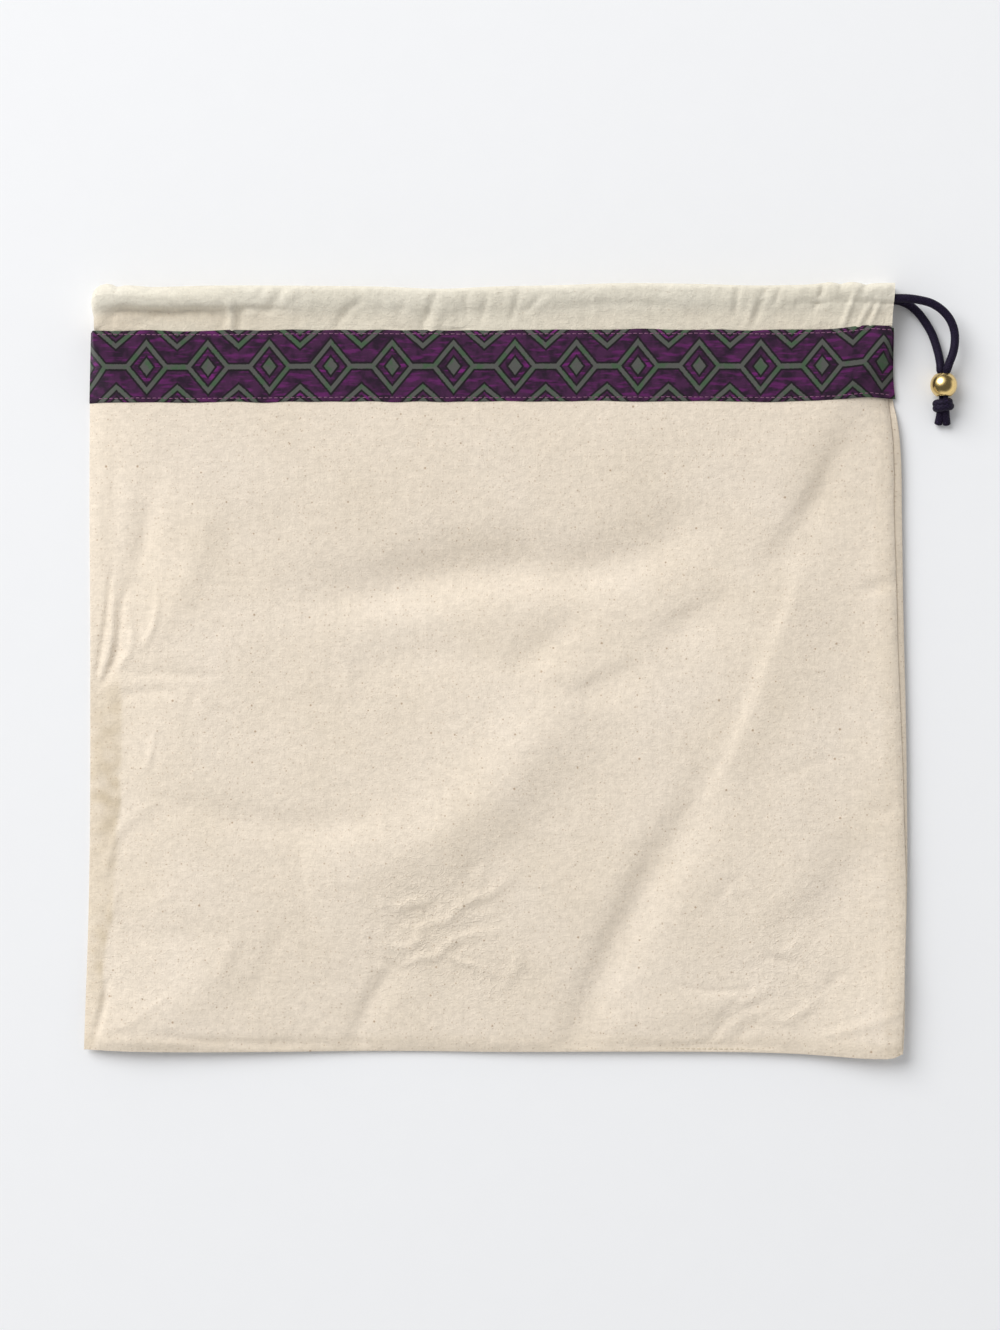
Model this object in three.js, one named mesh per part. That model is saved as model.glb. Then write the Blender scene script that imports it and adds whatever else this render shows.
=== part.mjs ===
// Drawstring dust bag, lying flat on its back: two cotton faces, a cord casing round the mouth,
// a ribbon band below it, and a drawcord whose two ends leave the casing through one ball bead.
// Millimetres, +Z up, +Y towards the mouth, origin on the table under the middle of the bag.
import * as THREE from 'three';

// Driving dimensions
const MOUTH_WIDTH = 391;
const BOTTOM_WIDTH = 400;
const BAG_LENGTH = 376;
const CLOTH = 0.5;
const CASING_DEPTH = 22;
const HEM_DEPTH = 2;
const HEM_OPENING = 0.2;
const MOUTH_GAP = 4.4;
const RIBBON_WIDTH = 35;
const RIBBON_THICKNESS = 0.45;
const RIBBON_STEP = 4;
const STITCH_INSET = 2;
const THREAD = 0.25;
const SEAM_ALLOWANCE = 12;
const SEAM_LINE = 0.35;
const SEAM_TO_ALLOWANCE = 0.4;
const BOTTOM_ROUND = 130;
const SIDE_ROUND = 50;
const MOUTH_TAPER = 80;
const CORD_DIAMETER = 4;
const CORD_CLEARANCE = 0.3;
const CORD_BELOW_FOLD = 6;
const STRAND_DIAMETER = 2.7;
const STRAND_CLEARANCE = 0.15;
const BEAD_DIAMETER = 13.2;
const BEAD_EDGE = 0.5;
const KNOT_WIDTH = 10.4;
const KNOT_LENGTH = 8.4;
const TAIL_LENGTH = 5;
const LEG_LEAD = 1.5;
const LAYER_GAP = 0.15;
const PIECE_GAP = 0.3;

// Where the bead lies, from the casing's open end: to the right, and towards the bottom of the bag
const BEAD_RIGHT = 24.4;
const BEAD_DOWN = 41.8;
// Turn of the pair of cords about the bead's axis, so that the upper leg lies over the lower one
const PAIR_TURN = THREE.MathUtils.degToRad(56);

// The two free legs, from the casing's open end to the bead: right, towards the mouth, up
const UPPER_LEG = [
  [6.5, -0.1, 12.4],
  [11.5, -0.7, 11.7],
  [18.0, -2.3, 10.6],
  [23.8, -6.0, 9.6],
  [27.7, -11.0, 8.9],
  [29.5, -16.6, 8.5],
  [29.6, -21.1, 8.4],
  [28.6, -26.7, 8.4],
  [26.9, -31.2, 8.4],
];
const LOWER_LEG = [
  [7.4, -1.9, 2.5],
  [12.2, -5.7, 2.3],
  [15.8, -10.4, 2.2],
  [19.1, -16.1, 2.4],
  [21.2, -22.2, 3.1],
  [22.5, -27.8, 4.0],
  [23.0, -31.2, 4.6],
];

// Counts of facets
const ACROSS = 20;
const BODY_ROWS = 10;
const CROWDING = 1.8;
const FOLD_STEPS = 10;
const HEM_ARC_STEPS = 6;
const CORD_SIDES = 10;
const LEG_STEPS = 18;
const TAIL_STEPS = 5;
const BEAD_SIDES = 32;
const BEAD_ARC_STEPS = 12;
const KNOT_SIDES = 20;

// Heights and places that follow from the driving dimensions
const TOP = BAG_LENGTH / 2;
const BOTTOM = -BAG_LENGTH / 2;
const CASING_LOW = TOP - CASING_DEPTH;
const PANEL_TOP = CASING_LOW - PIECE_GAP;
const RIBBON_LOW = PANEL_TOP - RIBBON_WIDTH;
const TUNNEL = CORD_DIAMETER + 2 * CORD_CLEARANCE;
const CASING_THICKNESS = TUNNEL + 2 * CLOTH;
const MOUTH_MIDDLE = CASING_THICKNESS + MOUTH_GAP / 2;
const FOLD_RADIUS = MOUTH_GAP / 2 + CASING_THICKNESS;
const FOLD_X = FOLD_RADIUS - MOUTH_WIDTH / 2;
const CORD_FROM_HEM = CASING_DEPTH - CORD_BELOW_FOLD;
const BACK_STACK = THREAD + RIBBON_THICKNESS + 2 * LAYER_GAP;
const SEAM_STACK = 3 * CLOTH + 2 * LAYER_GAP;
const FRONT_RISE = CASING_THICKNESS + MOUTH_GAP + CLOTH / 2;
const BEAD_RADIUS = BEAD_DIAMETER / 2;
const BORE_RADIUS = STRAND_DIAMETER + 2 * STRAND_CLEARANCE;
const BEAD_HALF_LENGTH = Math.sqrt(BEAD_RADIUS ** 2 - (BORE_RADIUS + BEAD_EDGE) ** 2);

const cotton = new THREE.MeshStandardMaterial({ color: 0xe4d9c6, roughness: 0.92, metalness: 0 });
const casingCotton = new THREE.MeshStandardMaterial({ color: 0xdfdacb, roughness: 0.92, metalness: 0 });
const ribbonWeave = new THREE.MeshStandardMaterial({ color: 0x4a2b46, roughness: 0.7, metalness: 0 });
const sewingThread = new THREE.MeshStandardMaterial({ color: 0xa98a9c, roughness: 0.6, metalness: 0 });
const seamThread = new THREE.MeshStandardMaterial({ color: 0xc9b79a, roughness: 0.7, metalness: 0 });
const cordBraid = new THREE.MeshStandardMaterial({ color: 0x2a2138, roughness: 0.6, metalness: 0 });
const gold = new THREE.MeshStandardMaterial({ color: 0xd4af5a, roughness: 0.2, metalness: 1 });

const bag = new THREE.Group();

function addPiece(parent, name, geometry, material) {
  const mesh = new THREE.Mesh(geometry, material);
  mesh.name = name;
  parent.add(mesh);
  return mesh;
}

function solid(positions, faces) {
  const geometry = new THREE.BufferGeometry();
  geometry.setAttribute('position', new THREE.Float32BufferAttribute(positions, 3));
  geometry.setIndex(faces);
  geometry.computeVertexNormals();
  return geometry;
}

// Closed cloth sheet over a grid of stations; place(s, y, side) puts its lower (0) and upper (1) faces.
function sheet(across, along, place) {
  const positions = [];
  for (const side of [0, 1]) {
    for (const y of along) {
      for (const s of across) {
        positions.push(...place(s, y, side));
      }
    }
  }
  const columns = across.length;
  const layer = columns * along.length;
  const at = (i, j, side) => side * layer + j * columns + i;
  const faces = [];
  const wall = (a, b) => faces.push(a, b, b + layer, a, b + layer, a + layer);
  for (let j = 0; j + 1 < along.length; j += 1) {
    for (let i = 0; i + 1 < columns; i += 1) {
      const [a, b, c, d] = [at(i, j, 1), at(i + 1, j, 1), at(i + 1, j + 1, 1), at(i, j + 1, 1)];
      faces.push(a, b, c, a, c, d);
      faces.push(a - layer, c - layer, b - layer, a - layer, d - layer, c - layer);
    }
    wall(at(columns - 1, j, 0), at(columns - 1, j + 1, 0));
    wall(at(0, j + 1, 0), at(0, j, 0));
  }
  for (let i = 0; i + 1 < columns; i += 1) {
    wall(at(i, 0, 0), at(i + 1, 0, 0));
    wall(at(i + 1, along.length - 1, 0), at(i, along.length - 1, 0));
  }
  return solid(positions, faces);
}

// Closed solid through rings of points, with a passage through it where inner rings are given.
function loft(outerRings, innerRings) {
  const count = outerRings[0].length;
  const last = outerRings.length - 1;
  const positions = outerRings.flat(2);
  const faces = [];
  const quad = (a, b, c, d) => faces.push(a, b, c, a, c, d);
  const next = (i) => (i + 1) % count;
  const inner = outerRings.length * count;
  for (let r = 0; r < last; r += 1) {
    for (let i = 0; i < count; i += 1) {
      const [a, b] = [r * count + i, r * count + next(i)];
      quad(a, a + count, b + count, b);
      if (innerRings) {
        quad(inner + a, inner + b, inner + b + count, inner + a + count);
      }
    }
  }
  if (innerRings) {
    positions.push(...innerRings.flat(2));
    for (let i = 0; i < count; i += 1) {
      quad(i, next(i), inner + next(i), inner + i);
      const [a, b] = [last * count + i, last * count + next(i)];
      quad(a, inner + a, inner + b, b);
    }
  } else {
    for (let i = 1; i + 1 < count; i += 1) {
      faces.push(0, i, i + 1);
      faces.push(last * count, last * count + i + 1, last * count + i);
    }
  }
  return solid(positions, faces);
}

// Cord of one diameter along a smooth route
function cordAlong(points, diameter, steps) {
  const section = new THREE.Shape();
  for (let i = 0; i < CORD_SIDES; i += 1) {
    const turn = (2 * Math.PI * i) / CORD_SIDES;
    const [x, y] = [Math.cos(turn) * diameter / 2, Math.sin(turn) * diameter / 2];
    if (i === 0) {
      section.moveTo(x, y);
    } else {
      section.lineTo(x, y);
    }
  }
  section.closePath();
  const extrudePath = new THREE.CatmullRomCurve3(points.map((p) => new THREE.Vector3(...p)));
  return new THREE.ExtrudeGeometry(section, { steps, extrudePath, bevelEnabled: false });
}

// Shape of the lying bag
const quarterRound = (t) => Math.sin((Math.PI / 2) * THREE.MathUtils.clamp(t, 0, 1));
const halfWidth = (y) => THREE.MathUtils.mapLinear(y, BOTTOM, TOP, BOTTOM_WIDTH / 2, MOUTH_WIDTH / 2);
const backUnderside = (y) => (y < RIBBON_LOW ? 0 : BACK_STACK);
const seamHeight = (y) => backUnderside(y) + SEAM_STACK;

function frontUnderside(x, y) {
  const seam = seamHeight(y);
  const nearMouth = THREE.MathUtils.smoothstep(y, PANEL_TOP - MOUTH_TAPER, PANEL_TOP);
  const round = THREE.MathUtils.lerp(SIDE_ROUND, FOLD_RADIUS, nearMouth);
  const side = quarterRound((halfWidth(y) - Math.abs(x)) / round);
  return seam + (FRONT_RISE - seam) * quarterRound((y - BOTTOM) / BOTTOM_ROUND) * side;
}

// Stations across the bag, crowded towards its sides, and along it, crowded towards the bottom seam
const across = Array.from({ length: ACROSS + 1 }, (_, i) => {
  const t = (2 * i) / ACROSS - 1;
  return Math.sign(t) * (1 - (1 - Math.abs(t)) ** CROWDING);
});
const bodyEnd = RIBBON_LOW - RIBBON_STEP;
const bodyRows = Array.from(
  { length: BODY_ROWS + 1 },
  (_, j) => BOTTOM + (bodyEnd - BOTTOM) * (j / BODY_ROWS) ** CROWDING,
);
const lowerRow = [RIBBON_LOW + STITCH_INSET, RIBBON_LOW + STITCH_INSET + THREAD];
const upperRow = [PANEL_TOP - STITCH_INSET - THREAD, PANEL_TOP - STITCH_INSET];
const ribbonRows = [RIBBON_LOW, ...lowerRow, (RIBBON_LOW + PANEL_TOP) / 2, ...upperRow, PANEL_TOP];
const panelRows = [...bodyRows, ...ribbonRows];

// A layer on the front face, between two heights above the panel's underside
function frontLayer(rows, from, to) {
  return sheet(across, rows, (s, y, side) => {
    const x = s * halfWidth(y);
    return [x, y, frontUnderside(x, y) + (side ? to : from)];
  });
}

// A layer of the back face, between two heights
function backLayer(rows, from, to) {
  return sheet(across, rows, (s, y, side) => [s * halfWidth(y), y, side ? to(y) : from(y)]);
}

function buildFaces() {
  const ribbonUnder = CLOTH + LAYER_GAP;
  const threadUnder = ribbonUnder + RIBBON_THICKNESS + LAYER_GAP;
  addPiece(bag, 'front_panel', frontLayer(panelRows, 0, CLOTH), cotton);
  addPiece(bag, 'front_ribbon', frontLayer(ribbonRows, ribbonUnder, ribbonUnder + RIBBON_THICKNESS), ribbonWeave);
  addPiece(bag, 'back_panel', backLayer(panelRows, backUnderside, (y) => backUnderside(y) + CLOTH), cotton);
  const ribbonLow = THREAD + LAYER_GAP;
  addPiece(
    bag,
    'back_ribbon',
    backLayer(ribbonRows, () => ribbonLow, () => ribbonLow + RIBBON_THICKNESS),
    ribbonWeave,
  );
  for (const [row, stations] of [['lower', lowerRow], ['upper', upperRow]]) {
    const front = frontLayer(stations, threadUnder, threadUnder + THREAD);
    addPiece(bag, `front_ribbon_${row}_stitching`, front, sewingThread);
    const back = backLayer(stations, () => 0, () => THREAD);
    addPiece(bag, `back_ribbon_${row}_stitching`, back, sewingThread);
  }
}

// Turned-in seam allowances between the two faces, and the line of thread that closes each seam
function buildSeams() {
  const low = (y) => backUnderside(y) + CLOTH + LAYER_GAP;
  const high = (y) => low(y) + 2 * CLOTH;
  const allowanceStart = SEAM_LINE + THREAD + SEAM_TO_ALLOWANCE;
  const bottomAllowance = [BOTTOM + allowanceStart, BOTTOM + SEAM_ALLOWANCE];
  const bottomLine = [BOTTOM + SEAM_LINE, BOTTOM + SEAM_LINE + THREAD];
  const allowanceRows = [bottomAllowance[1] + PIECE_GAP, bodyEnd, ...ribbonRows];
  const lineRows = [bottomLine[1] + PIECE_GAP, bodyEnd, ...ribbonRows];
  const strip = (columns, rows, x) =>
    sheet(columns, rows, (s, y, side) => [x(s, y), y, side ? high(y) : low(y)]);
  for (const [name, hand] of [['left', -1], ['right', 1]]) {
    const fromEdge = (d, y) => hand * (halfWidth(y) - d);
    const ordered = (a, b) => (hand > 0 ? [b, a] : [a, b]);
    const allowance = strip(ordered(allowanceStart, SEAM_ALLOWANCE), allowanceRows, fromEdge);
    addPiece(bag, `${name}_seam_allowance`, allowance, cotton);
    const line = strip(ordered(SEAM_LINE, SEAM_LINE + THREAD), lineRows, fromEdge);
    addPiece(bag, `${name}_seam_stitching`, line, seamThread);
  }
  const betweenSides = (inset) => (s, y) => s * (halfWidth(y) - inset);
  const allowance = strip([-1, 1], bottomAllowance, betweenSides(allowanceStart));
  addPiece(bag, 'bottom_seam_allowance', allowance, cotton);
  const line = strip([-1, 1], bottomLine, betweenSides(SEAM_LINE));
  addPiece(bag, 'bottom_seam_stitching', line, seamThread);
}

// A point of the casing: station gives x and the turn from the front (0) to the back (half a turn),
// y counts up from the hem stitching and n out from the mouth.
function casingPoint(station, y, n) {
  const radius = MOUTH_GAP / 2 + n;
  return [
    station.x - Math.sin(station.turn) * radius,
    CASING_LOW + y,
    MOUTH_MIDDLE + Math.cos(station.turn) * radius,
  ];
}

// Section of the casing, a hem folded round the cord: flat towards the mouth on the front face,
// flat on the table on the back face. inset is 0 for the outside and the cloth for the tunnel.
function casingRing(station, inset) {
  const toBack = (1 - Math.cos(station.turn)) / 2;
  const hem = toBack * TUNNEL;
  const hemStart = inset > 0 ? HEM_DEPTH : 0;
  const hemInset = inset > 0 ? CLOTH - HEM_OPENING / 2 : 0;
  const half = CASING_THICKNESS / 2;
  const shoulder = CORD_FROM_HEM - half;
  const ring = [[hemStart, hem + hemInset], [shoulder, inset]];
  for (let i = 0; i <= HEM_ARC_STEPS; i += 1) {
    const turn = Math.PI * (i / HEM_ARC_STEPS - 0.5);
    ring.push([CASING_DEPTH - half + Math.cos(turn) * (half - inset), half + Math.sin(turn) * (half - inset)]);
  }
  ring.push([shoulder, CASING_THICKNESS - inset], [hemStart, hem + 2 * CLOTH - hemInset]);
  return ring.map(([y, n]) => casingPoint(station, y, n));
}

function cordRing(station) {
  return Array.from({ length: CORD_SIDES }, (_, i) => {
    const turn = (2 * Math.PI * (i + 0.5)) / CORD_SIDES;
    const y = CORD_FROM_HEM + Math.sin(turn) * CORD_DIAMETER / 2;
    return casingPoint(station, y, CASING_THICKNESS / 2 - Math.cos(turn) * CORD_DIAMETER / 2);
  });
}

function buildCasing() {
  const run = (turn) => [{ x: FOLD_X + PIECE_GAP, turn }, { x: MOUTH_WIDTH / 2, turn }];
  const fold = Array.from({ length: FOLD_STEPS + 1 }, (_, i) => ({ x: FOLD_X, turn: (Math.PI * i) / FOLD_STEPS }));
  const casings = {
    front_casing: run(0).reverse(),
    casing_left_fold: fold,
    back_casing: run(Math.PI),
  };
  for (const [name, stations] of Object.entries(casings)) {
    const outside = stations.map((station) => casingRing(station, 0));
    const tunnel = stations.map((station) => casingRing(station, CLOTH));
    addPiece(bag, name, loft(outside, tunnel), casingCotton);
  }
  const route = [{ x: MOUTH_WIDTH / 2, turn: 0 }, ...fold, { x: MOUTH_WIDTH / 2, turn: Math.PI }];
  addPiece(bag, 'drawcord_in_casing', loft(route.map(cordRing)), cordBraid);
}

// The cord's free end, measured from the casing's open end on the table
function buildCordEnd() {
  const end = new THREE.Group();
  end.position.set(MOUTH_WIDTH / 2, CASING_LOW + CORD_FROM_HEM, 0);
  bag.add(end);

  const pairSide = { upper: 1, lower: -1 };
  const legs = { upper: UPPER_LEG, lower: LOWER_LEG };
  const legTop = { upper: MOUTH_MIDDLE + FOLD_RADIUS - CASING_THICKNESS / 2, lower: CASING_THICKNESS / 2 };
  const legSpread = (CORD_DIAMETER + PIECE_GAP) / 2;
  const strandSpread = STRAND_DIAMETER / 2 + STRAND_CLEARANCE;
  const strandLength = 2 * BEAD_HALF_LENGTH;
  const legEnd = PIECE_GAP + BEAD_HALF_LENGTH - BEAD_DOWN;
  for (const [name, side] of Object.entries(pairSide)) {
    const pairX = side * Math.cos(PAIR_TURN);
    const pairZ = side * Math.sin(PAIR_TURN);
    const start = [PIECE_GAP, 0, legTop[name]];
    const lead = [PIECE_GAP + LEG_LEAD, 0, legTop[name]];
    const finish = [BEAD_RIGHT + pairX * legSpread, legEnd, BEAD_RADIUS + pairZ * legSpread];
    const approach = [finish[0], legEnd + LEG_LEAD, finish[2]];
    const leg = cordAlong([start, lead, ...legs[name], approach, finish], CORD_DIAMETER, LEG_STEPS);
    addPiece(end, `drawcord_${name}_leg`, leg, cordBraid);

    const strand = new THREE.CylinderGeometry(STRAND_DIAMETER / 2, STRAND_DIAMETER / 2, strandLength, CORD_SIDES);
    const strandMesh = addPiece(end, `drawcord_${name}_strand`, strand, cordBraid);
    strandMesh.position.set(BEAD_RIGHT + pairX * strandSpread, -BEAD_DOWN, BEAD_RADIUS + pairZ * strandSpread);
  }

  const bead = addPiece(end, 'bead', beadGeometry(), gold);
  bead.position.set(BEAD_RIGHT, -BEAD_DOWN, BEAD_RADIUS);

  const knotTop = -BEAD_DOWN - BEAD_HALF_LENGTH - PIECE_GAP;
  const knot = addPiece(end, 'drawcord_knot', knotGeometry(), cordBraid);
  knot.position.set(BEAD_RIGHT, knotTop - KNOT_LENGTH / 2, KNOT_WIDTH / 2);

  const tailTop = knotTop - KNOT_LENGTH - PIECE_GAP;
  for (const [name, side] of [['left', -1], ['right', 1]]) {
    const x = BEAD_RIGHT + side * legSpread;
    const z = KNOT_WIDTH / 2 - LEG_LEAD;
    const lead = [x, tailTop - LEG_LEAD, z];
    const tip = [x, tailTop - TAIL_LENGTH, CORD_DIAMETER / 2 + PIECE_GAP];
    const tail = cordAlong([[x, tailTop, z], lead, tip], CORD_DIAMETER, TAIL_STEPS);
    addPiece(end, `drawcord_${name}_tail`, tail, cordBraid);
  }
}

// Ball with a straight bore and rounded bore edges, turned about +Y
function beadGeometry() {
  const profile = [];
  const reach = Math.asin(BEAD_HALF_LENGTH / BEAD_RADIUS);
  for (let i = 0; i <= BEAD_ARC_STEPS; i += 1) {
    const rise = reach * ((2 * i) / BEAD_ARC_STEPS - 1);
    profile.push(new THREE.Vector2(BEAD_RADIUS * Math.cos(rise), BEAD_RADIUS * Math.sin(rise)));
  }
  profile.push(new THREE.Vector2(BORE_RADIUS, BEAD_HALF_LENGTH - BEAD_EDGE));
  profile.push(new THREE.Vector2(BORE_RADIUS, BEAD_EDGE - BEAD_HALF_LENGTH));
  profile.push(profile[0].clone());
  return new THREE.LatheGeometry(profile, BEAD_SIDES);
}

// Overhand knot in both cords together: a plump upper wrap and a smaller lower one
function knotGeometry() {
  const half = KNOT_LENGTH / 2;
  const wide = KNOT_WIDTH / 2;
  const collar = CORD_DIAMETER + PIECE_GAP / 2;
  const profile = new THREE.Path();
  profile.moveTo(0, -half);
  profile.lineTo(collar - BEAD_EDGE, -half);
  profile.quadraticCurveTo(collar, -half, collar, -half / 2);
  profile.quadraticCurveTo(wide, -half / 2, wide, half / 4);
  profile.quadraticCurveTo(wide, half, collar - BEAD_EDGE, half);
  profile.lineTo(0, half);
  return new THREE.LatheGeometry(profile.getPoints(4), KNOT_SIDES);
}

buildFaces();
buildSeams();
buildCasing();
buildCordEnd();

export default bag;
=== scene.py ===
import math

import bpy
import numpy as np
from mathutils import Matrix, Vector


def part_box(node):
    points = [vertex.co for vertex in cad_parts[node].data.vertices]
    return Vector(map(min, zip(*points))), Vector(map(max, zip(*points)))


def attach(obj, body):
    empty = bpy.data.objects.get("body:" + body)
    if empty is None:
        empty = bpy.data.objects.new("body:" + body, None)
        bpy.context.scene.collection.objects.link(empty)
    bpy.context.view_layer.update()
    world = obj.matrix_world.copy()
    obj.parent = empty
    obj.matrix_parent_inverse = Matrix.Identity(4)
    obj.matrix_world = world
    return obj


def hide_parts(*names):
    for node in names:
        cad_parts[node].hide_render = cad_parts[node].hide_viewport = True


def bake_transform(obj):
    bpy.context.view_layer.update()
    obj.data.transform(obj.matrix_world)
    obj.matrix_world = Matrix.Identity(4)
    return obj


bl_info = {
    "name": "Drawstring Dust Bag",
    "version": (1, 0, 0),
    "blender": (4, 5, 0),
    "location": "View3D > Sidebar > Dust Bag",
    "description": "Dresses the packed frame of a cotton drawstring dust bag",
    "category": "Add Mesh",
}

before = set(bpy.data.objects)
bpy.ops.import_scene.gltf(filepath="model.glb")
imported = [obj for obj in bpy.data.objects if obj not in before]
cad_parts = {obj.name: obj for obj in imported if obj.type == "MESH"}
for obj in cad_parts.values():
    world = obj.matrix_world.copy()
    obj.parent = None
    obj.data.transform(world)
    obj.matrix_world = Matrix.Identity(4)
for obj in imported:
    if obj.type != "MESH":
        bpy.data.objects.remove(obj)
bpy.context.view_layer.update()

# Lengths are written in millimetres and become metres when a mesh is made
MM = 0.001


def node_box(node):
    """Lowest and highest corner of a frame node, in millimetres."""
    low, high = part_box(node)
    return np.array(low) / MM, np.array(high) / MM


# Places taken from the frame
PANEL_LOW, PANEL_HIGH = node_box("front_panel")
RIBBON_LOW, RIBBON_HIGH = node_box("front_ribbon")
BACK_RIBBON_UNDERSIDE = node_box("back_ribbon")[0][2]
CASING_LOW, CASING_HIGH = node_box("front_casing")
CORD_LOW, CORD_HIGH = node_box("drawcord_in_casing")
BEAD_LOW, BEAD_HIGH = node_box("bead")
KNOT_LOW, KNOT_HIGH = node_box("drawcord_knot")
BOTTOM = PANEL_LOW[1]
PANEL_TOP = PANEL_HIGH[1]
RIBBON_FOOT = RIBBON_LOW[1]
RIBBON_HEAD = RIBBON_HIGH[1]
CASING_FOOT = CASING_LOW[1]
CASING_DEPTH = CASING_HIGH[1] - CASING_FOOT
CASING_THICKNESS = CASING_HIGH[2] - CASING_LOW[2]
MOUTH_RIGHT = CASING_HIGH[0]
MOUTH_MIDDLE = CASING_HIGH[2] / 2
MOUTH_HALF_GAP = CASING_LOW[2] - MOUTH_MIDDLE
FOLD_RADIUS = MOUTH_HALF_GAP + CASING_THICKNESS
FOLD_X = -MOUTH_RIGHT + FOLD_RADIUS
CORD_Y = (CORD_LOW[1] + CORD_HIGH[1]) / 2
CORD_TURN = FOLD_RADIUS - CASING_THICKNESS / 2
EXIT = np.array([MOUTH_RIGHT, CORD_Y, 0.0])
BEAD_CENTRE = (BEAD_LOW + BEAD_HIGH) / 2
BEAD_RADIUS = (BEAD_HIGH[0] - BEAD_LOW[0]) / 2
BEAD_HALF_LENGTH = (BEAD_HIGH[1] - BEAD_LOW[1]) / 2
KNOT_CENTRE = (KNOT_LOW + KNOT_HIGH) / 2

# The two free legs of the cord from the casing's open end to the bead: right, towards the mouth, up
UPPER_LEG = [
    (6.5, -0.1, 12.4), (11.5, -0.7, 11.7), (18.0, -2.3, 10.6), (23.8, -6.0, 9.6), (27.7, -11.0, 8.9),
    (29.5, -16.6, 8.5), (29.6, -21.1, 8.4), (28.6, -26.7, 8.4), (26.9, -31.2, 8.4),
]
LOWER_LEG = [
    (7.4, -1.9, 2.5), (12.2, -5.7, 2.3), (15.8, -10.4, 2.2), (19.1, -16.1, 2.4), (21.2, -22.2, 3.1),
    (22.5, -27.8, 4.0), (23.0, -31.2, 4.6),
]
LEG_LEAD = 1.8

# Outline of the lying bag: (distance up the bag, place across it) and (place across, distance up)
LEFT_EDGE = [(-187, -201.9), (-92, -199.5), (0, -199.2), (131, -199.2), (166, -198.4)]
RIGHT_DITCH = [
    (-186, 199.3), (-152, 200.6), (-110, 201.6), (-73, 200.7), (-44, 199.9), (-14, 198.7), (10, 197.7),
    (35, 197.1), (60, 196.3), (80, 195.7), (98, 195.7), (118, 194.6), (132, 193.1), (166, 193.0),
]
RIGHT_EDGE = [
    (-191, 198.6), (-187, 199.6), (-180, 200.2), (-152, 200.8), (-110, 202.2), (-39, 202.0),
    (35, 200.4), (74, 199.8), (108, 199.0), (118, 198.0), (132, 195.4), (166, 195.2),
]
BOTTOM_EDGE = [
    (-202, -185.7), (-180, -186.6), (-145, -187.1), (-120, -187.1), (-46, -186.8), (2, -187.2),
    (60, -187.0), (100, -187.1), (130, -187.4), (150, -188.0), (168, -189.0), (186, -190.0),
    (194, -189.9), (198, -189.0), (200, -187.6),
]
# How far the ribbon and the casing have drifted up or down the table, across the bag
MOUTH_DRIFT = [
    (-196, 0.8), (-145, 0.5), (-85, 1.0), (-30, 0.9), (30, 1.0), (90, 1.2), (145, 1.1), (170, 2.0),
    (184, 3.4), (194, 2.8),
]
CASING_DRIFT = [
    (-197, -0.4), (-187, 0.7), (-165, -0.1), (-140, 0.1), (-85, 0.0), (-55, -0.4), (-27, -1.3),
    (0, -0.1), (30, 0.3), (60, 1.2), (90, 1.1), (120, 0.9), (150, 1.4), (183, 1.3), (196, 1.5),
]
DRIFT_START = 60

# Rounding of the lying bag
SIDE_ROUND = 60
BOTTOM_ROUND = 85
MOUTH_TAPER = 80
CROWN_SAG = 2.8
CROWN_FULL_SAG = 50
SEAM_TOP = 1.9
SEAM_MIDDLE = 1.0
LEFT_SLOPE = 8
BOTTOM_SLOPE = 6
SEAM_ROLL = 1.8
RIBBON_RAISE = 1.0
RIBBON_STRETCH = -0.1
MOUTH_LIFT = 1.7
DITCH_DEPTH = 1.45
DITCH_WIDTH = 1.6
RIGHT_LIFT = 3.2
CORNER_LIFT = 1.5
RIGHT_PAD = 1.7
# Painted shade on the back's rolled right margin, which faces away from the key
ROLL_PAINTED_SHADE = 0.3
MARGIN_FULL = 2.2
# Where the bag curls up and where its right seam is padded: from none to full, across or up the bag
RIGHT_CURL = (150, 200)
CORNER_CURL_ACROSS = (110, 200)
CORNER_CURL_DOWN = (-110, -189)
BOTTOM_CURL = (-120, -189)
CURL_END = (119, RIBBON_FOOT - 1)
RIBBON_STEP = (RIBBON_FOOT - 14, RIBBON_FOOT)
PAD_ACROSS = (165, 196)
PAD_END = (108, RIBBON_FOOT - 3)
PAD_FOOT = (-186, -150)
# Where the cloth is held taut: under the ribbon and along the seams
SQUARE_MOUTH = 0.7
SQUARE_FROM = (RIBBON_FOOT + 6, RIBBON_HEAD - 4)
RIBBON_TAUT = 0.8
RIBBON_TAUT_FROM = (RIBBON_FOOT - 16, RIBBON_FOOT + 4)
SIDE_TAUT = (0, 4)
BOTTOM_TAUT = (0, 5)
# How far the bottom edge is lifted off the table, across the bag
BOTTOM_LIFT = [
    (-203, 2.6), (-196, 4.0), (-185, 5.2), (-150, 4.8), (-120, 3.6), (-60, 1.3), (-40, 1.1), (30, 2.4),
    (100, 2.4), (150, 2.8), (185, 3.7), (200, 3.4),
]

# Width of the turned-in allowance that shows through at the left: (distance up the bag, width)
STRIP_WIDTH = [
    (-187, 5), (-175, 6.5), (-156, 9.5), (-145, 8.5), (-126, 10.8), (-103, 13), (-62, 15), (-24, 16),
    (10, 14), (166, 12),
]

FOLD_SPANS = 6
FOLD_FADE = 0.55
RUMPLE_WAVES = 22
RUMPLE_SPREAD = (0.6, 1.5)
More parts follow.
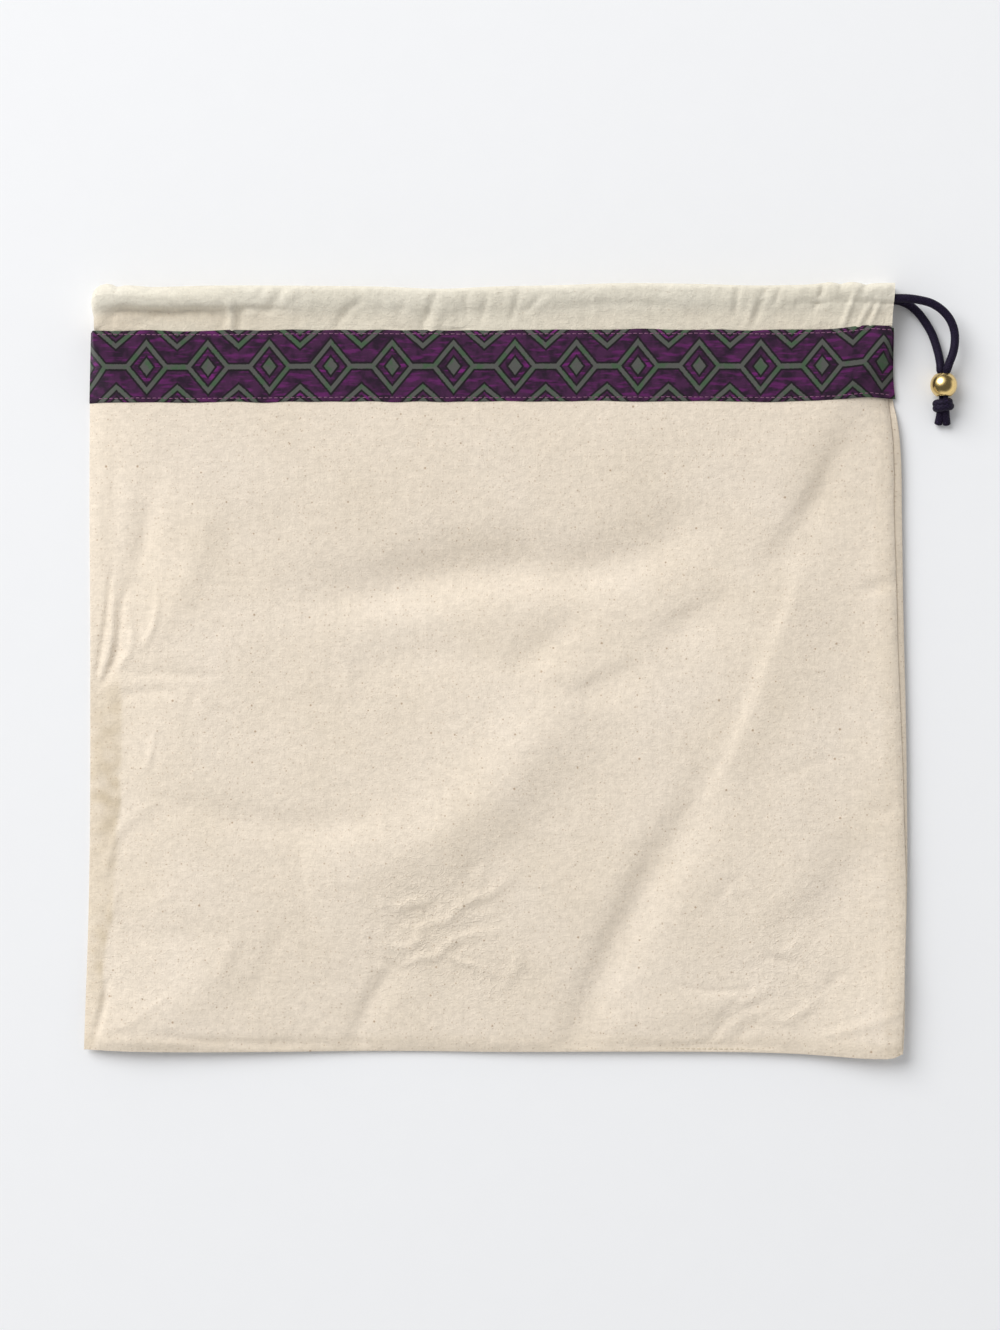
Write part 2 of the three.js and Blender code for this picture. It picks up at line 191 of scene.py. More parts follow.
# Soft folds of the front: route in millimetres, height, reach to the left and right of the route
FOLDS = [
    # Long sagging valley across the upper middle
    ([(-110, 37), (-80, 38), (-55, 41), (-30, 46), (-8, 50), (14, 51), (40, 50), (62, 54), (78, 61),
      (88, 68), (95, 82)], -2.2, 14, 13),
    ([(-96, 38), (-55, 41), (-30, 46), (-8, 50), (20, 51)], -0.8, 13, 17),
    ([(-72, 0), (-50, 6), (-25, 8), (2, 5)], -0.8, 12, 11),
    ([(4, 1), (20, 10), (36, 22), (52, 31)], -0.7, 8, 8),
    # Broad ridge from the upper right to the lower left, and the creases at its upper end
    ([(44, -8), (28, -27), (15, -42), (2, -57), (-12, -70), (-30, -83), (-58, -92),
      (-94, -98)], 2.1, 20, 18),
    ([(36, -14), (50, -7), (62, -2), (76, 4)], -0.75, 5, 11),
    ([(76, 8), (88, 20), (98, 27), (116, 37)], -0.9, 7, 11),
    ([(22, 1), (35, -2), (46, -8)], 0.5, 5, 4),
    # Long valley from the upper right corner down to the bottom edge
    ([(174, 118), (168, 108), (162, 98), (158, 90), (153, 83), (147, 75)], -0.8, 8, 3.0),
    ([(166, 96), (158, 83), (151, 74), (145, 66), (138, 58), (128, 51)], -0.9, 14, 5.5),
    ([(150, 56), (146, 30), (140, 15), (134, 3), (129, -12), (123, -28), (117, -42), (110, -56),
      (104, -68)], 0.75, 13, 4.2),
    ([(151, 58), (148, 40), (143, 27), (137, 17), (132, 6)], 0.22, 3, 2.6),
    ([(106, -44), (97, -66), (88, -80), (79, -94), (71, -110), (64, -124), (57, -137), (50, -152),
      (44, -168), (40, -190)], -1.7, 12, 8),
    # Upper left: a soft valley, a ridge beside it and puckers drawn in at the seam
    ([(-166, 106), (-171, 80), (-174, 56), (-178, 34)], -0.7, 9, 7),
    ([(-169, 80), (-172, 66), (-176, 50)], -0.4, 5, 3.5),
    ([(-139, 84), (-144, 62), (-150, 46), (-157, 33), (-164, 22), (-174, 11)], 0.55, 7, 8),
    ([(-186, 110), (-187, 84), (-189, 56)], -0.22, 4, 3),
    ([(-188.5, 50), (-190, 34), (-192, 20), (-194, 8), (-196.5, -5)], -0.55, 1.5, 1.6),
    ([(-186.5, 48), (-188, 30), (-188, 18), (-190, 8), (-194, -3)], 0.3, 1.4, 1.5),
    ([(-178.5, 46), (-183.5, 32), (-184.5, 20), (-186, 10), (-189, 1), (-194, -8)], -0.55, 1.8, 1.8),
    ([(-181, 31), (-177.5, 18), (-179, 11), (-186, 0)], 0.5, 1.4, 1.4),
    ([(-184, 15), (-188, 2), (-195, -9)], -0.4, 2.8, 2.4),
    ([(-165.5, 45), (-166, 28), (-168.5, 19), (-172, 13), (-182, 5)], 0.5, 1.4, 1.5),
    ([(-186, -12), (-172, -11), (-156, -9)], -0.45, 3, 3),
    ([(-188, -1), (-160, -1.5), (-134, -2.5)], -0.4, 2.4, 2.4),
    ([(-146, -7), (-148, -15), (-149, -22)], -0.3, 2.2, 2.2),
    ([(-80, -16), (-72, -2), (-70, 8)], 0.14, 3, 3),
    # Lower left
    ([(-170, -64), (-135, -70), (-105, -75), (-80, -75), (-56, -70)], -0.8, 7, 8),
    ([(-164, -64), (-174, -69), (-181, -75), (-187, -83), (-190, -93), (-192, -102)], 0.42, 1.8, 1.8),
    ([(-184, -105), (-187, -115), (-191, -124)], 0.3, 1.6, 1.5),
    ([(-155, -99), (-158, -108), (-164, -112), (-178, -114)], 0.2, 1.8, 1.8),
    ([(-166, -24), (-168, -38), (-172, -50)], 0.28, 2.0, 1.8),
    ([(-196, -186), (-172, -171), (-155, -162), (-140, -150), (-126, -136)], 0.65, 11, 13),
    ([(-193, -178), (-180, -173), (-168, -165), (-158, -157)], 0.22, 1.8, 1.8),
    ([(-184, -128), (-160, -131), (-138, -126)], -0.4, 8, 7),
    ([(-104, -126), (-108, -134), (-113, -146), (-120, -160)], -0.4, 2.6, 2.4),
    ([(-127, -128), (-131, -140), (-137, -155)], 0.38, 2.4, 2.2),
    ([(-190, -150), (-193, -168), (-198, -184)], -0.6, 2.2, 2.0),
    # Crease at the bottom, left of the middle, and the crumpled patch above it
    ([(-38, -144), (-51, -148), (-58, -157), (-64, -168), (-72, -188)], -0.8, 7, 4.2),
    ([(11, -97), (4.0, -103.5), (-2.5, -108.6), (-8, -109.6), (-12.0, -112), (-16.8, -114.5),
      (-20.4, -119), (-28, -124)], 0.85, 2.2, 1.0),
    ([(-18, -119), (-30, -123.5), (-35, -124.5), (-37, -127), (-37.8, -130.5), (-39.5, -134),
      (-45, -134.6), (-60, -135)], 0.6, 1.9, 1.0),
    ([(-58, -112), (-52.5, -115), (-46.4, -115.6), (-40.7, -114), (-36.4, -113),
      (-28, -111.5)], 0.65, 1.0, 2.0),
    ([(-51, -147), (-44, -143.5), (-39.5, -141.8), (-37, -140), (-29.6, -140.4), (-26.5, -136.6),
      (-22, -132.8), (-11, -130.5)], 0.6, 1.0, 1.9),
    ([(-28, -137), (-19.6, -142.2), (-12, -144.5), (2, -151)], 0.6, 1.2, 1.1),
    ([(11.5, -134), (10.9, -143), (7.4, -149), (3, -158)], 0.55, 1.8, 1.1),
    ([(-15, -129), (-4.3, -128.9), (5, -127.6)], 0.32, 1.3, 1.3),
    ([(-7, -92), (-7.3, -101), (-10, -109)], 0.32, 1.3, 1.2),
    ([(-53, -128), (-49.5, -125.8), (-44, -122.3), (-36.4, -121.7), (-30, -119)], -0.4, 1.2, 1.2),
    ([(-42, -118.5), (-38, -117.4), (-32, -117.2), (-30, -113), (-21, -112)], -0.42, 1.2, 1.2),
    ([(-21, -100), (-13.5, -103.6), (-10.4, -106.7), (-1, -107)], -0.4, 1.2, 1.2),
    ([(-16, -100), (-12.7, -98), (-6, -92)], -0.42, 1.3, 1.3),
    ([(-43, -102), (-36, -100), (-31, -98)], -0.32, 1.3, 1.3),
    ([(-57, -103), (-50, -106.5), (-43, -109), (-33, -110)], -0.3, 1.2, 1.2),
    ([(-27, -127.5), (-15, -126.6), (-5, -122.5)], -0.36, 1.2, 1.2),
    ([(-22, -140), (-18.5, -136), (-10, -134)], -0.36, 1.2, 1.2),
    ([(-63, -138), (-53, -143.5), (-44, -146.5)], -0.42, 1.6, 1.4),
    ([(-66, -90), (-57, -91), (-48, -93)], -0.2, 2.0, 2.0),
    # Lower right
    ([(182, -82), (172, -100), (164, -112), (150, -123), (132, -129)], -0.88, 17, 10),
    ([(56, -174), (90, -167), (115, -163), (140, -152)], 0.35, 7, 7),
    ([(124, -98), (112, -108), (104, -116)], -0.3, 2.0, 2.0),
    ([(78, -151), (98, -156), (115, -157), (123, -156), (135, -150)], -0.27, 1.6, 1.8),
    ([(155, -126), (150, -132), (145, -137), (131, -137.5)], 0.4, 1.7, 1.8),
    ([(130, -137), (140, -142), (147, -144), (154, -149)], -0.42, 1.7, 1.8),
    ([(171, -146), (166, -152), (161, -158), (155, -164)], -0.62, 1.7, 1.7),
    ([(164, -155), (157, -161.5), (151, -167), (141, -173)], 0.6, 1.5, 1.6),
    ([(198, -168), (186, -172), (174, -176), (158, -179.5)], 0.42, 1.8, 2.0),
    ([(140, -157), (128, -164), (118, -168), (110, -176), (104, -184)], -0.36, 2.0, 2.2),
    ([(126, -155), (116, -164), (108, -174)], -0.3, 2.0, 2.0),
    ([(132, -171), (124, -175), (116, -183)], -0.4, 3, 2.6),
    ([(126, -166), (138, -171), (150, -173)], 0.25, 1.8, 1.8),
    ([(170, -41), (156, -46), (138, -53)], -0.3, 2.0, 2.2),
    ([(199, 43), (190, 42), (180, 39)], -0.7, 3, 3),
    ([(199, -64), (188, -70), (180, -68)], -0.35, 4, 4),
]
FOLD_SCALE = 2.1
# Hollow above the rolled bottom hem: (place across, depth) and (place across, distance above the edge)
HEM_DEPTH = [
    (-203, -0.3), (-190, 0.2), (-172, 0.6), (-145, 0.7), (-110, 0.8), (-85, 0.5), (-45, 0.1),
    (50, 0.15), (80, 0.5), (110, 0.7), (135, 0.3), (160, 0.05), (200, 0.1),
]
HEM_HOLLOW = [
    (-203, 9.0), (-169, 8.2), (-145, 6.0), (-120, 4.6), (-60, 4.2), (60, 3.0), (125, 3.0), (200, 4.0),
]
HEM_REACH = 2.2
HEM_FROM_BOTTOM = (0, 2)
HEM_FROM_SIDE = (0, 5)
RUMPLES = [(95, 0.25), (44, 0.12), (21, 0.08), (9, 0.03), (5, 0.011)]

# Patches with fine creases: middle, reach and strength
CREASED_ALL_OVER = 0.18
CREASED_PATCHES = [
    (-30, -120, 30, 0.9), (4, -150, 16, 0.5), (140, -146, 38, 0.45), (-184, 6, 20, 0.5),
    (-186, -150, 24, 0.3),
]

# Folds of the casing's front: route (place across, distance above the hem), height, reach left and right
CASING_FOLDS = [
    # Deep crease under the cord at the left, and its branch
    ([(-190, 1), (-187, 5.4), (-184, 8.3), (-174, 9.0), (-164, 9.1), (-155, 8.8), (-148, 9.8),
      (-142, 9.4), (-135, 9.0), (-130, 12)], -0.9, 1.8, 1.8),
    ([(-194, 9.4), (-165, 9.2), (-140, 9.2), (-120, 9.8)], -0.5, 2.0, 4.0),
    ([(-161, 10.5), (-168, 6.5), (-175, 1)], -0.5, 1.5, 1.8),
    ([(-128.5, -3), (-128.5, 6), (-129, 16)], 0.85, 1.3, 1.3),
    ([(-126, -2), (-125, 6), (-123, 12)], -0.6, 2.0, 1.6),
    ([(-135, -1), (-132.5, 5), (-131, 10)], -0.45, 1.5, 1.8),
    ([(-127, 10), (-122, 11), (-114, 10.6), (-98, 10.5)], -0.5, 1.3, 1.6),
    ([(-110, 24), (-114, 18.5), (-119, 13)], -0.35, 1.5, 1.5),
    ([(-100, 25), (-106, 16), (-109, 12), (-114, 7)], -0.6, 2.2, 2.0),
    ([(-90, 18), (-97, 14.5), (-103, 11)], -0.3, 1.5, 1.5),
    ([(-63, 15.5), (-70, 12), (-74, 8), (-78, 1)], -0.65, 1.8, 1.6),
    ([(-42, 15), (-45.5, 12), (-49, 9)], -0.35, 2, 2),
    ([(-54, 3), (-47, 2.2), (-40, 2.5)], -0.3, 1.5, 1.5),
    # Slanting crease left of the middle and the small ones beside it
    ([(-26, 24), (-30.5, 16), (-32.5, 11), (-35, 5), (-38, -3)], -0.8, 1.5, 1.3),
    ([(-25, 14), (-29, 6), (-32, -2)], 0.4, 2.5, 2),
    ([(-29, 2), (-20, 1.2), (-11, 2.4)], -0.35, 1.3, 1.5),
    ([(-13.3, 21), (-14, 14), (-14, 6)], -0.5, 1.1, 1.0),
    ([(-3.5, 19), (-5, 12), (-7, 5)], -0.45, 1.2, 1.2),
    ([(12.5, 21), (10.5, 14), (8.5, 9), (6.5, 1)], -0.6, 1.3, 1.2),
    ([(24, 18), (19, 13.5), (14, 8)], -0.45, 1.3, 1.3),
    # Loose band under the cord in the right half
    ([(28, 11.5), (45, 11.8), (60, 12.5), (72, 12), (92, 12.5)], -0.4, 2.5, 2.5),
    ([(119.5, 25), (118, 16), (116.5, 5)], -0.5, 1.8, 1.6),
    ([(134, 25), (130.5, 16), (128.5, 9), (126, 1)], -0.5, 1.8, 1.7),
    ([(127, 17), (125, 9), (122, 1)], 0.3, 1.5, 1.5),
    ([(139.5, 24), (138, 17), (136, 11)], -0.3, 1.2, 1.2),
    ([(161, 27), (159.5, 19), (157.5, 13), (154, 7)], -0.6, 1.7, 1.6),
    ([(146, 12), (158, 13), (174, 13.5)], -0.45, 2, 2),
    # Slanting puckers at the cord's way out
    ([(177.5, 22), (174, 13), (171.5, 6), (168.5, -3)], 0.6, 1.5, 1.5),
    ([(184.5, 14), (180, 6.5), (175.5, -3)], 0.5, 1.5, 1.4),
    ([(189.5, 14), (185.5, 6.5), (182, -3)], 0.42, 1.5, 1.4),
    ([(168, 13.8), (180, 12.8), (190, 12), (201, 11.5)], -0.75, 1.4, 1.4),
    # Scalloped top edge at both ends
    ([(161, 30), (164, 22), (165, 14)], 0.6, 3.0, 3.5),
    ([(173, 30), (174, 22), (174, 16)], 0.6, 3, 3),
    ([(169, 29), (168.5, 24), (168, 18)], -0.6, 1.2, 1.2),
    ([(181, 29), (180.5, 24), (180, 18)], -0.6, 1.3, 1.3),
    ([(188, 30), (188, 22), (188, 16)], 0.4, 5, 5),
    ([(-188, 31), (-188, 22), (-189, 14)], 0.7, 2.5, 2.5),
    ([(-184, 29), (-185, 24), (-185, 17)], -0.6, 1.2, 1.2),
]
# How far the back half of the casing has slipped down behind the front half
CASING_SLIP = 5.0
SLIP_ENDS = (150, 192)
FOLD_SQUARENESS = 0.65
CASING_FOLD_SCALE = 1.9
CASING_BULGE = 0.6
CASING_TOP_TURN = 0.8
TUNNEL_RISE = 1.7
CASING_TOP_PRESS = 0.62
# Darker, warmer tint of the casing's lower half, partly its doubled hem and partly painted shade under the
# cord's tunnel, and how steeply the tunnel rises from it, along the bag
CASING_HEM_AND_SHADE = [(-197, 1.0), (-120, 0.9), (-60, 0.6), (0, 0.45), (60, 0.55), (120, 0.65), (196, 0.7)]
TUNNEL_STEP = [
    (-197, 0), (-190, 0.2), (-185, 0.9), (-160, 1), (-136, 1), (-128, 0.3), (-110, 0.35), (-90, 0.1),
    (-70, 0), (196, 0),
]
# Wavy upper edge of the casing: (place across, rise)
TOP_SCALLOPS = [
    (-197, 0), (-192, 0.3), (-188, 1.0), (-186, 0.3), (-184, -0.8), (-180, -0.2), (-170, -0.1),
    (-150, 0.3), (-100, 0.4), (-50, 0.4), (0, 0.2), (30, 0.4), (100, 0.3), (140, -0.5), (155, -0.2),
    (160, 0.4), (163, 0.8), (166, 0.5), (168.5, 0), (171, 0.6), (174, 1.0), (177.5, 0.6), (181, -0.3),
    (184, 0.2), (188, 0.4), (196, 0.3),
]
CORD_CLEARANCE = 2.2
CASING_RUMPLES = [(34, 0.14), (13, 0.13), (6, 0.075), (3.2, 0.045)]


def srgb(red, green, blue):
    """Colour as read off a picture, as the linear values that sockets take."""
    values = [value / 255 for value in (red, green, blue)]
    return tuple(v / 12.92 if v <= 0.04045 else ((v + 0.055) / 1.055) ** 2.4 for v in values)


def length_property(name, description, millimetres):
    return bpy.props.FloatProperty(
        name=name, description=description, default=millimetres * MM, unit="LENGTH", precision=5
    )


def colour_property(name, description, colour):
    return bpy.props.FloatVectorProperty(
        name=name, description=description, default=srgb(*colour), subtype="COLOR", size=3, min=0, max=1
    )


class DustBagSizes(bpy.types.PropertyGroup):
    """Sizes that a maker would change."""

    cloth: length_property("Cloth", "Thickness of the cotton", 0.45)
    ribbon: length_property("Ribbon", "Thickness of the ribbon", 0.45)
    thread_pitch: length_property("Thread pitch", "Distance between the cotton's threads", 0.46)
    stitch_pitch: length_property("Stitch pitch", "Distance from stitch to stitch", 2.7)
    stitch_length: length_property("Stitch length", "Length of the thread that shows", 1.9)
    stitch_inset: length_property("Stitch inset", "From the topstitching to the ribbon's edge", 2.0)
    thread: length_property("Thread", "Diameter of the sewing thread", 0.34)
    cord: length_property("Cord", "Diameter of the drawcord", 4.0)
    braid: length_property("Braid", "Length of one braid cell along the cord", 1.5)
    braid_depth: length_property("Braid depth", "Depth of the grooves between braid cells", 0.16)
    motif: length_property("Motif", "Repeat of the ribbon's lozenges", 30)
    line: length_property("Line", "Half width of the ribbon's woven lines", 1.0)
    outline: length_property("Outline", "Width of the dark rim of those lines", 0.95)


class DustBagColours(bpy.types.PropertyGroup):
    """Colours that a maker would change."""

    cotton: colour_property("Cotton", "Unbleached cotton of the faces", (238, 225, 208))
    # Yellower tint of doubled cotton, also used as painted shade along the front's bottom and right edges
    # and on the back's rolled margin
    cotton_doubled_and_shaded: colour_property("Cotton shade", "Yellower tint of doubled cotton", (186, 168, 136))
    casing: colour_property("Casing", "Greyer cotton of the casing", (231, 225, 210))
    # Darker, warmer tint of the casing below the cord: partly its doubled hem, partly painted shade under
    # the cord's tunnel
    casing_hem_and_shade: colour_property("Casing shade", "Warmer tint below the cord", (214, 200, 180))
    fleck: colour_property("Fleck", "Seed flecks in the cotton", (158, 126, 92))
    ribbon: colour_property("Ribbon", "Ground of the ribbon", (72, 33, 70))
    ribbon_deep: colour_property("Ribbon deep", "Darker parts of the ground", (41, 22, 42))
    ribbon_bright: colour_property("Ribbon bright", "Brighter parts of the ground", (120, 36, 116))
    line: colour_property("Line", "Woven lines of the ribbon", (90, 91, 87))
    line_green: colour_property("Line tint", "Greener parts of those lines", (72, 96, 71))
    outline: colour_property("Outline", "Dark rim of the woven lines", (29, 22, 28))
    topstitch: colour_property("Topstitch", "Thread of the topstitching", (140, 88, 124))
    seam_thread: colour_property("Seam thread", "Thread that closes the seams", (206, 190, 162))
    cord: colour_property("Cord", "Drawcord", (23, 17, 35))
    # Painted shade in the grooves of the cord's braid
    cord_groove_shade: colour_property("Cord deep", "Grooves of the cord's braid", (12, 9, 17))
    cord_fuzz: colour_property("Cord fuzz", "Lighter fibre ends on the cord", (72, 55, 92))
    gold: colour_property("Bead", "Polished bead", (238, 208, 142))
    floor: colour_property("Floor", "Paper that the bag lies on", (244, 245, 247))


def sizes():
    return bpy.context.scene.dust_bag_sizes


def colours():
    return bpy.context.scene.dust_bag_colours


def in_mm(name):
    """One of the sizes, in millimetres."""
    return getattr(sizes(), name) / MM


# Curves and soft heights

def ramp(start, end, at):
    """Smooth step from 0 at start to 1 at end."""
    t = np.clip((at - start) / (end - start), 0, 1)
    return t * t * (3 - 2 * t)


def smooth_line(points, at):
    """Values on a smooth line through (place, value) points."""
    place, value = np.array(points, float).T
    slope = np.gradient(value, place)
    i = np.clip(np.searchsorted(place, at) - 1, 0, len(place) - 2)
    step = place[i + 1] - place[i]
    t = np.clip((at - place[i]) / step, 0, 1)
    rise = value[i + 1] - value[i]
    bend_in = slope[i] * step
    bend_out = slope[i + 1] * step
    square = 3 * rise - 2 * bend_in - bend_out
    cube = bend_in + bend_out - 2 * rise
    return value[i] + t * (bend_in + t * (square + t * cube))


def running_length(points):
    """Length of a line of points, up to each of them."""
    return np.concatenate([[0], np.cumsum(np.linalg.norm(np.diff(points, axis=0), axis=1))])


def through(points, per_span):
    """Dense points on a smooth curve through the given ones."""
    points = np.array(points, float)
    place = running_length(points)
    spans = [np.linspace(a, b, per_span, endpoint=False) for a, b in zip(place, place[1:])]
    at = np.concatenate([*spans, place[-1:]])
    return np.stack([smooth_line(np.stack([place, axis], 1), at) for axis in points.T], 1)


def rumple(x, y, size, seed):
    """Smooth random heights, mostly between -1 and 1, with bumps about size across."""
    random = np.random.default_rng(seed)
    turn = random.uniform(0, math.pi, RUMPLE_WAVES)
    phase = random.uniform(0, 2 * math.pi, RUMPLE_WAVES)
    number = 2 * math.pi / size * random.uniform(*RUMPLE_SPREAD, RUMPLE_WAVES)
    height = np.zeros_like(x)
    for a, p, k in zip(turn, phase, number):
        height += np.sin(k * (x * math.cos(a) + y * math.sin(a)) + p)
    return height / math.sqrt(RUMPLE_WAVES)


def fold_height(x, y, route, height, left, right):
    """Height of one soft ridge, or valley below zero, along a route that dies out at both ends."""
    line = through(route, FOLD_SPANS)
    best = np.full(x.shape, np.inf)
    side = np.zeros_like(x)
    along = np.zeros_like(x)
    last = len(line) - 1
    for k in range(last):
        (ax, ay), (dx, dy) = line[k], line[k + 1] - line[k]
        t = np.clip(((x - ax) * dx + (y - ay) * dy) / (dx * dx + dy * dy), 0, 1)
        px = x - ax - t * dx
        py = y - ay - t * dy
        gap = px * px + py * py
        nearer = gap < best
        best = np.where(nearer, gap, best)
        side = np.where(nearer, dx * py - dy * px, side)
        along = np.where(nearer, (k + t) / last, along)
    reach = np.where(side > 0, left, right)
    fade = np.sin(math.pi * along) ** FOLD_FADE
    return height * fade * np.exp(-best / reach ** 2)


def seam_floor(x, y):
    """Height of the back face above the table, raised over its ribbon and curled up right and bottom."""
    corner = CORNER_LIFT * ramp(*CORNER_CURL_ACROSS, x) * ramp(*CORNER_CURL_DOWN, y)
    curl = RIGHT_LIFT * ramp(*RIGHT_CURL, x) + corner
    curl += smooth_line(BOTTOM_LIFT, x) * ramp(*BOTTOM_CURL, y)
    curl *= 1 - ramp(*CURL_END, y)
    return curl + RIBBON_RAISE * ramp(*RIBBON_STEP, y)


def right_pad(x, y):
    """Extra thickness of the seam along the right edge."""
    return RIGHT_PAD * ramp(*PAD_ACROSS, x) * (1 - ramp(*PAD_END, y)) * ramp(*PAD_FOOT, y)


def margin_share(y):
    """How much of the right margin shows beyond the seam's ditch: 1 near the mouth, 0 near the bottom."""
    return np.clip((smooth_line(RIGHT_EDGE, y) - smooth_line(RIGHT_DITCH, y)) / MARGIN_FULL, 0, 1)


def front_height(x, y, edges):
    """Outside of the front face above the table; edges are the distances to the left, right and bottom."""
    to_left, to_right, to_bottom = edges
    to_side = np.minimum(to_left, to_right)
    floor = seam_floor(x, y)
    seam = floor + SEAM_TOP + right_pad(x, y)
    near_mouth = ramp(PANEL_TOP - MOUTH_TAPER, PANEL_TOP, y)
    rounding = SIDE_ROUND + (FOLD_RADIUS - SIDE_ROUND) * near_mouth
    rounding *= 1 - SQUARE_MOUTH * ramp(*SQUARE_FROM, y)
    side = np.sin(math.pi / 2 * np.clip(to_side / rounding, 0, 1))
    foot = np.sin(math.pi / 2 * np.clip(to_bottom / BOTTOM_ROUND, 0, 1))
    crown = PANEL_HIGH[2] - CROWN_SAG * (1 - ramp(CROWN_FULL_SAG, RIBBON_FOOT, y))
    height = seam + (crown - seam) * side * foot
    height += MOUTH_LIFT * ramp(RIBBON_FOOT, RIBBON_HEAD, y) * side
    loose = 1 - RIBBON_TAUT * ramp(*RIBBON_TAUT_FROM, y)
    loose *= ramp(*SIDE_TAUT, to_side) * ramp(*BOTTOM_TAUT, to_bottom)
    soft = np.zeros_like(x)
    for seed, (size, amount) in enumerate(RUMPLES):
        soft += amount * rumple(x, y, size, seed)
    for route, amount, left, right in FOLDS:
        soft += FOLD_SCALE * fold_height(x, y, route, amount, left, right)
    height += soft * loose
    hollow = (to_bottom - smooth_line(HEM_HOLLOW, x)) / HEM_REACH
    inside = ramp(*HEM_FROM_BOTTOM, to_bottom) * ramp(*HEM_FROM_SIDE, to_side)
    height -= smooth_line(HEM_DEPTH, x) * np.exp(-hollow ** 2) * inside
    fall = SEAM_TOP - SEAM_MIDDLE
    share = margin_share(y)
    for gap, width in ((to_left, LEFT_SLOPE), (to_bottom, BOTTOM_SLOPE)):
        height -= fall * np.clip(1 - gap / width, 0, 1) ** 2
    right_fall = fall + (DITCH_DEPTH - fall) * share
    right_width = SEAM_ROLL + (DITCH_WIDTH - SEAM_ROLL) * share
    t = np.clip(1 - to_right / right_width, 0, 1)
    height -= right_fall * (1 - np.sqrt(1 - t * t))
    return np.maximum(height, floor + SEAM_MIDDLE)


def drift(x, y):
    """Points of the mouth end with the slow wave of the lying bag."""
    return y + smooth_line(MOUTH_DRIFT, x) * ramp(DRIFT_START, RIBBON_FOOT, y)


# Modelling

def clear_selection():
    if bpy.context.object and bpy.context.object.mode != "OBJECT":
        bpy.ops.object.mode_set(mode="OBJECT")
    bpy.ops.object.select_all(action="DESELECT")


def read_points(mesh):
    values = np.empty(len(mesh.vertices) * 3)
    mesh.vertices.foreach_get("co", values)
    return values.reshape(-1, 3)


def write_points(mesh, points):
    mesh.vertices.foreach_set("co", np.ascontiguousarray(points, float).ravel())
    mesh.update()


def named(obj, name):
    obj.name = name
    obj.data.name = name
    return obj


def grid_piece(name, columns, rows, place):
    """Grid whose points are moved to place(s, t), in millimetres, with UVs in metres on the flat cloth."""
    clear_selection()
    bpy.ops.mesh.primitive_grid_add(x_subdivisions=columns, y_subdivisions=rows, size=2)
    obj = named(bpy.context.object, name)
    start = read_points(obj.data)
    points, flat = place((start[:, 0] + 1) / 2, (start[:, 1] + 1) / 2)
    write_points(obj.data, points * MM)
    corners = np.empty(len(obj.data.loops), np.int32)
    obj.data.loops.foreach_get("vertex_index", corners)
    obj.data.uv_layers.active.data.foreach_set("uv", (flat[corners] * MM).ravel())
    bpy.ops.object.shade_smooth()
    return obj


def mark_points(obj, name, values):
    """Keeps one value for each point, for a material to read."""
    attribute = obj.data.attributes.new(name, "FLOAT", "POINT")
    attribute.data.foreach_set("value", values.astype(np.float32))


def turn_faces(obj):
    """Turns the faces of an open sheet round."""
    bpy.ops.object.mode_set(mode="EDIT")
    bpy.ops.mesh.select_all(action="SELECT")
    bpy.ops.mesh.flip_normals()
    bpy.ops.object.mode_set(mode="OBJECT")


MERGE_DISTANCE = 2e-6
THINNEST = 0.02


def close_tube(obj, closed=True):
    """Merges the long seam and the poles of a tube and points a closed one's faces out."""
    bpy.ops.object.mode_set(mode="EDIT")
    bpy.ops.mesh.select_all(action="SELECT")
    bpy.ops.mesh.remove_doubles(threshold=MERGE_DISTANCE)
    if closed:
        bpy.ops.mesh.normals_make_consistent(inside=False)
    bpy.ops.object.mode_set(mode="OBJECT")


def apply_all(obj):
    for modifier in list(obj.modifiers):
        bpy.ops.object.modifier_apply(modifier=modifier.name)


def thicken(obj, thickness, thin_where=None):
    """Gives a sheet its thickness on the inside, thinned towards a sewn edge where told."""
    solidify = obj.modifiers.new("thickness", "SOLIDIFY")
    solidify.thickness = thickness * MM
    solidify.offset = -1
    if thin_where is not None:
        group = obj.vertex_groups.new(name="thickness")
        group.add(list(range(len(obj.data.vertices))), 1.0, "REPLACE")
        for index in np.flatnonzero(thin_where < 1):
            group.add([int(index)], float(thin_where[index]), "REPLACE")
        solidify.vertex_group = group.name
        solidify.thickness_vertex_group = THINNEST
    apply_all(obj)
    obj.vertex_groups.clear()


def stations(parts):
    """Places from 0 to 1 at uneven distances; parts are (length, spacing) from one edge to the other."""
    places = [0.0]
    for length, spacing in parts:
        count = max(1, round(length / spacing))
        places.extend(places[-1] + length / count * (k + 1) for k in range(count))
    return np.array(places) / places[-1]


def at_stations(places, t):
    """Turns an even place on a grid into an uneven one."""
    return np.interp(t, np.linspace(0, 1, len(places)), places)


def dress(obj, material, nodes):
    """Gives a piece its material and hides the frame nodes it stands for."""
    obj.data.materials.clear()
    obj.data.materials.append(material)
    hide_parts(*nodes)


def gather(obj):
    """Bakes the piece's placement into its points."""
    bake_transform(obj)


# Node trees

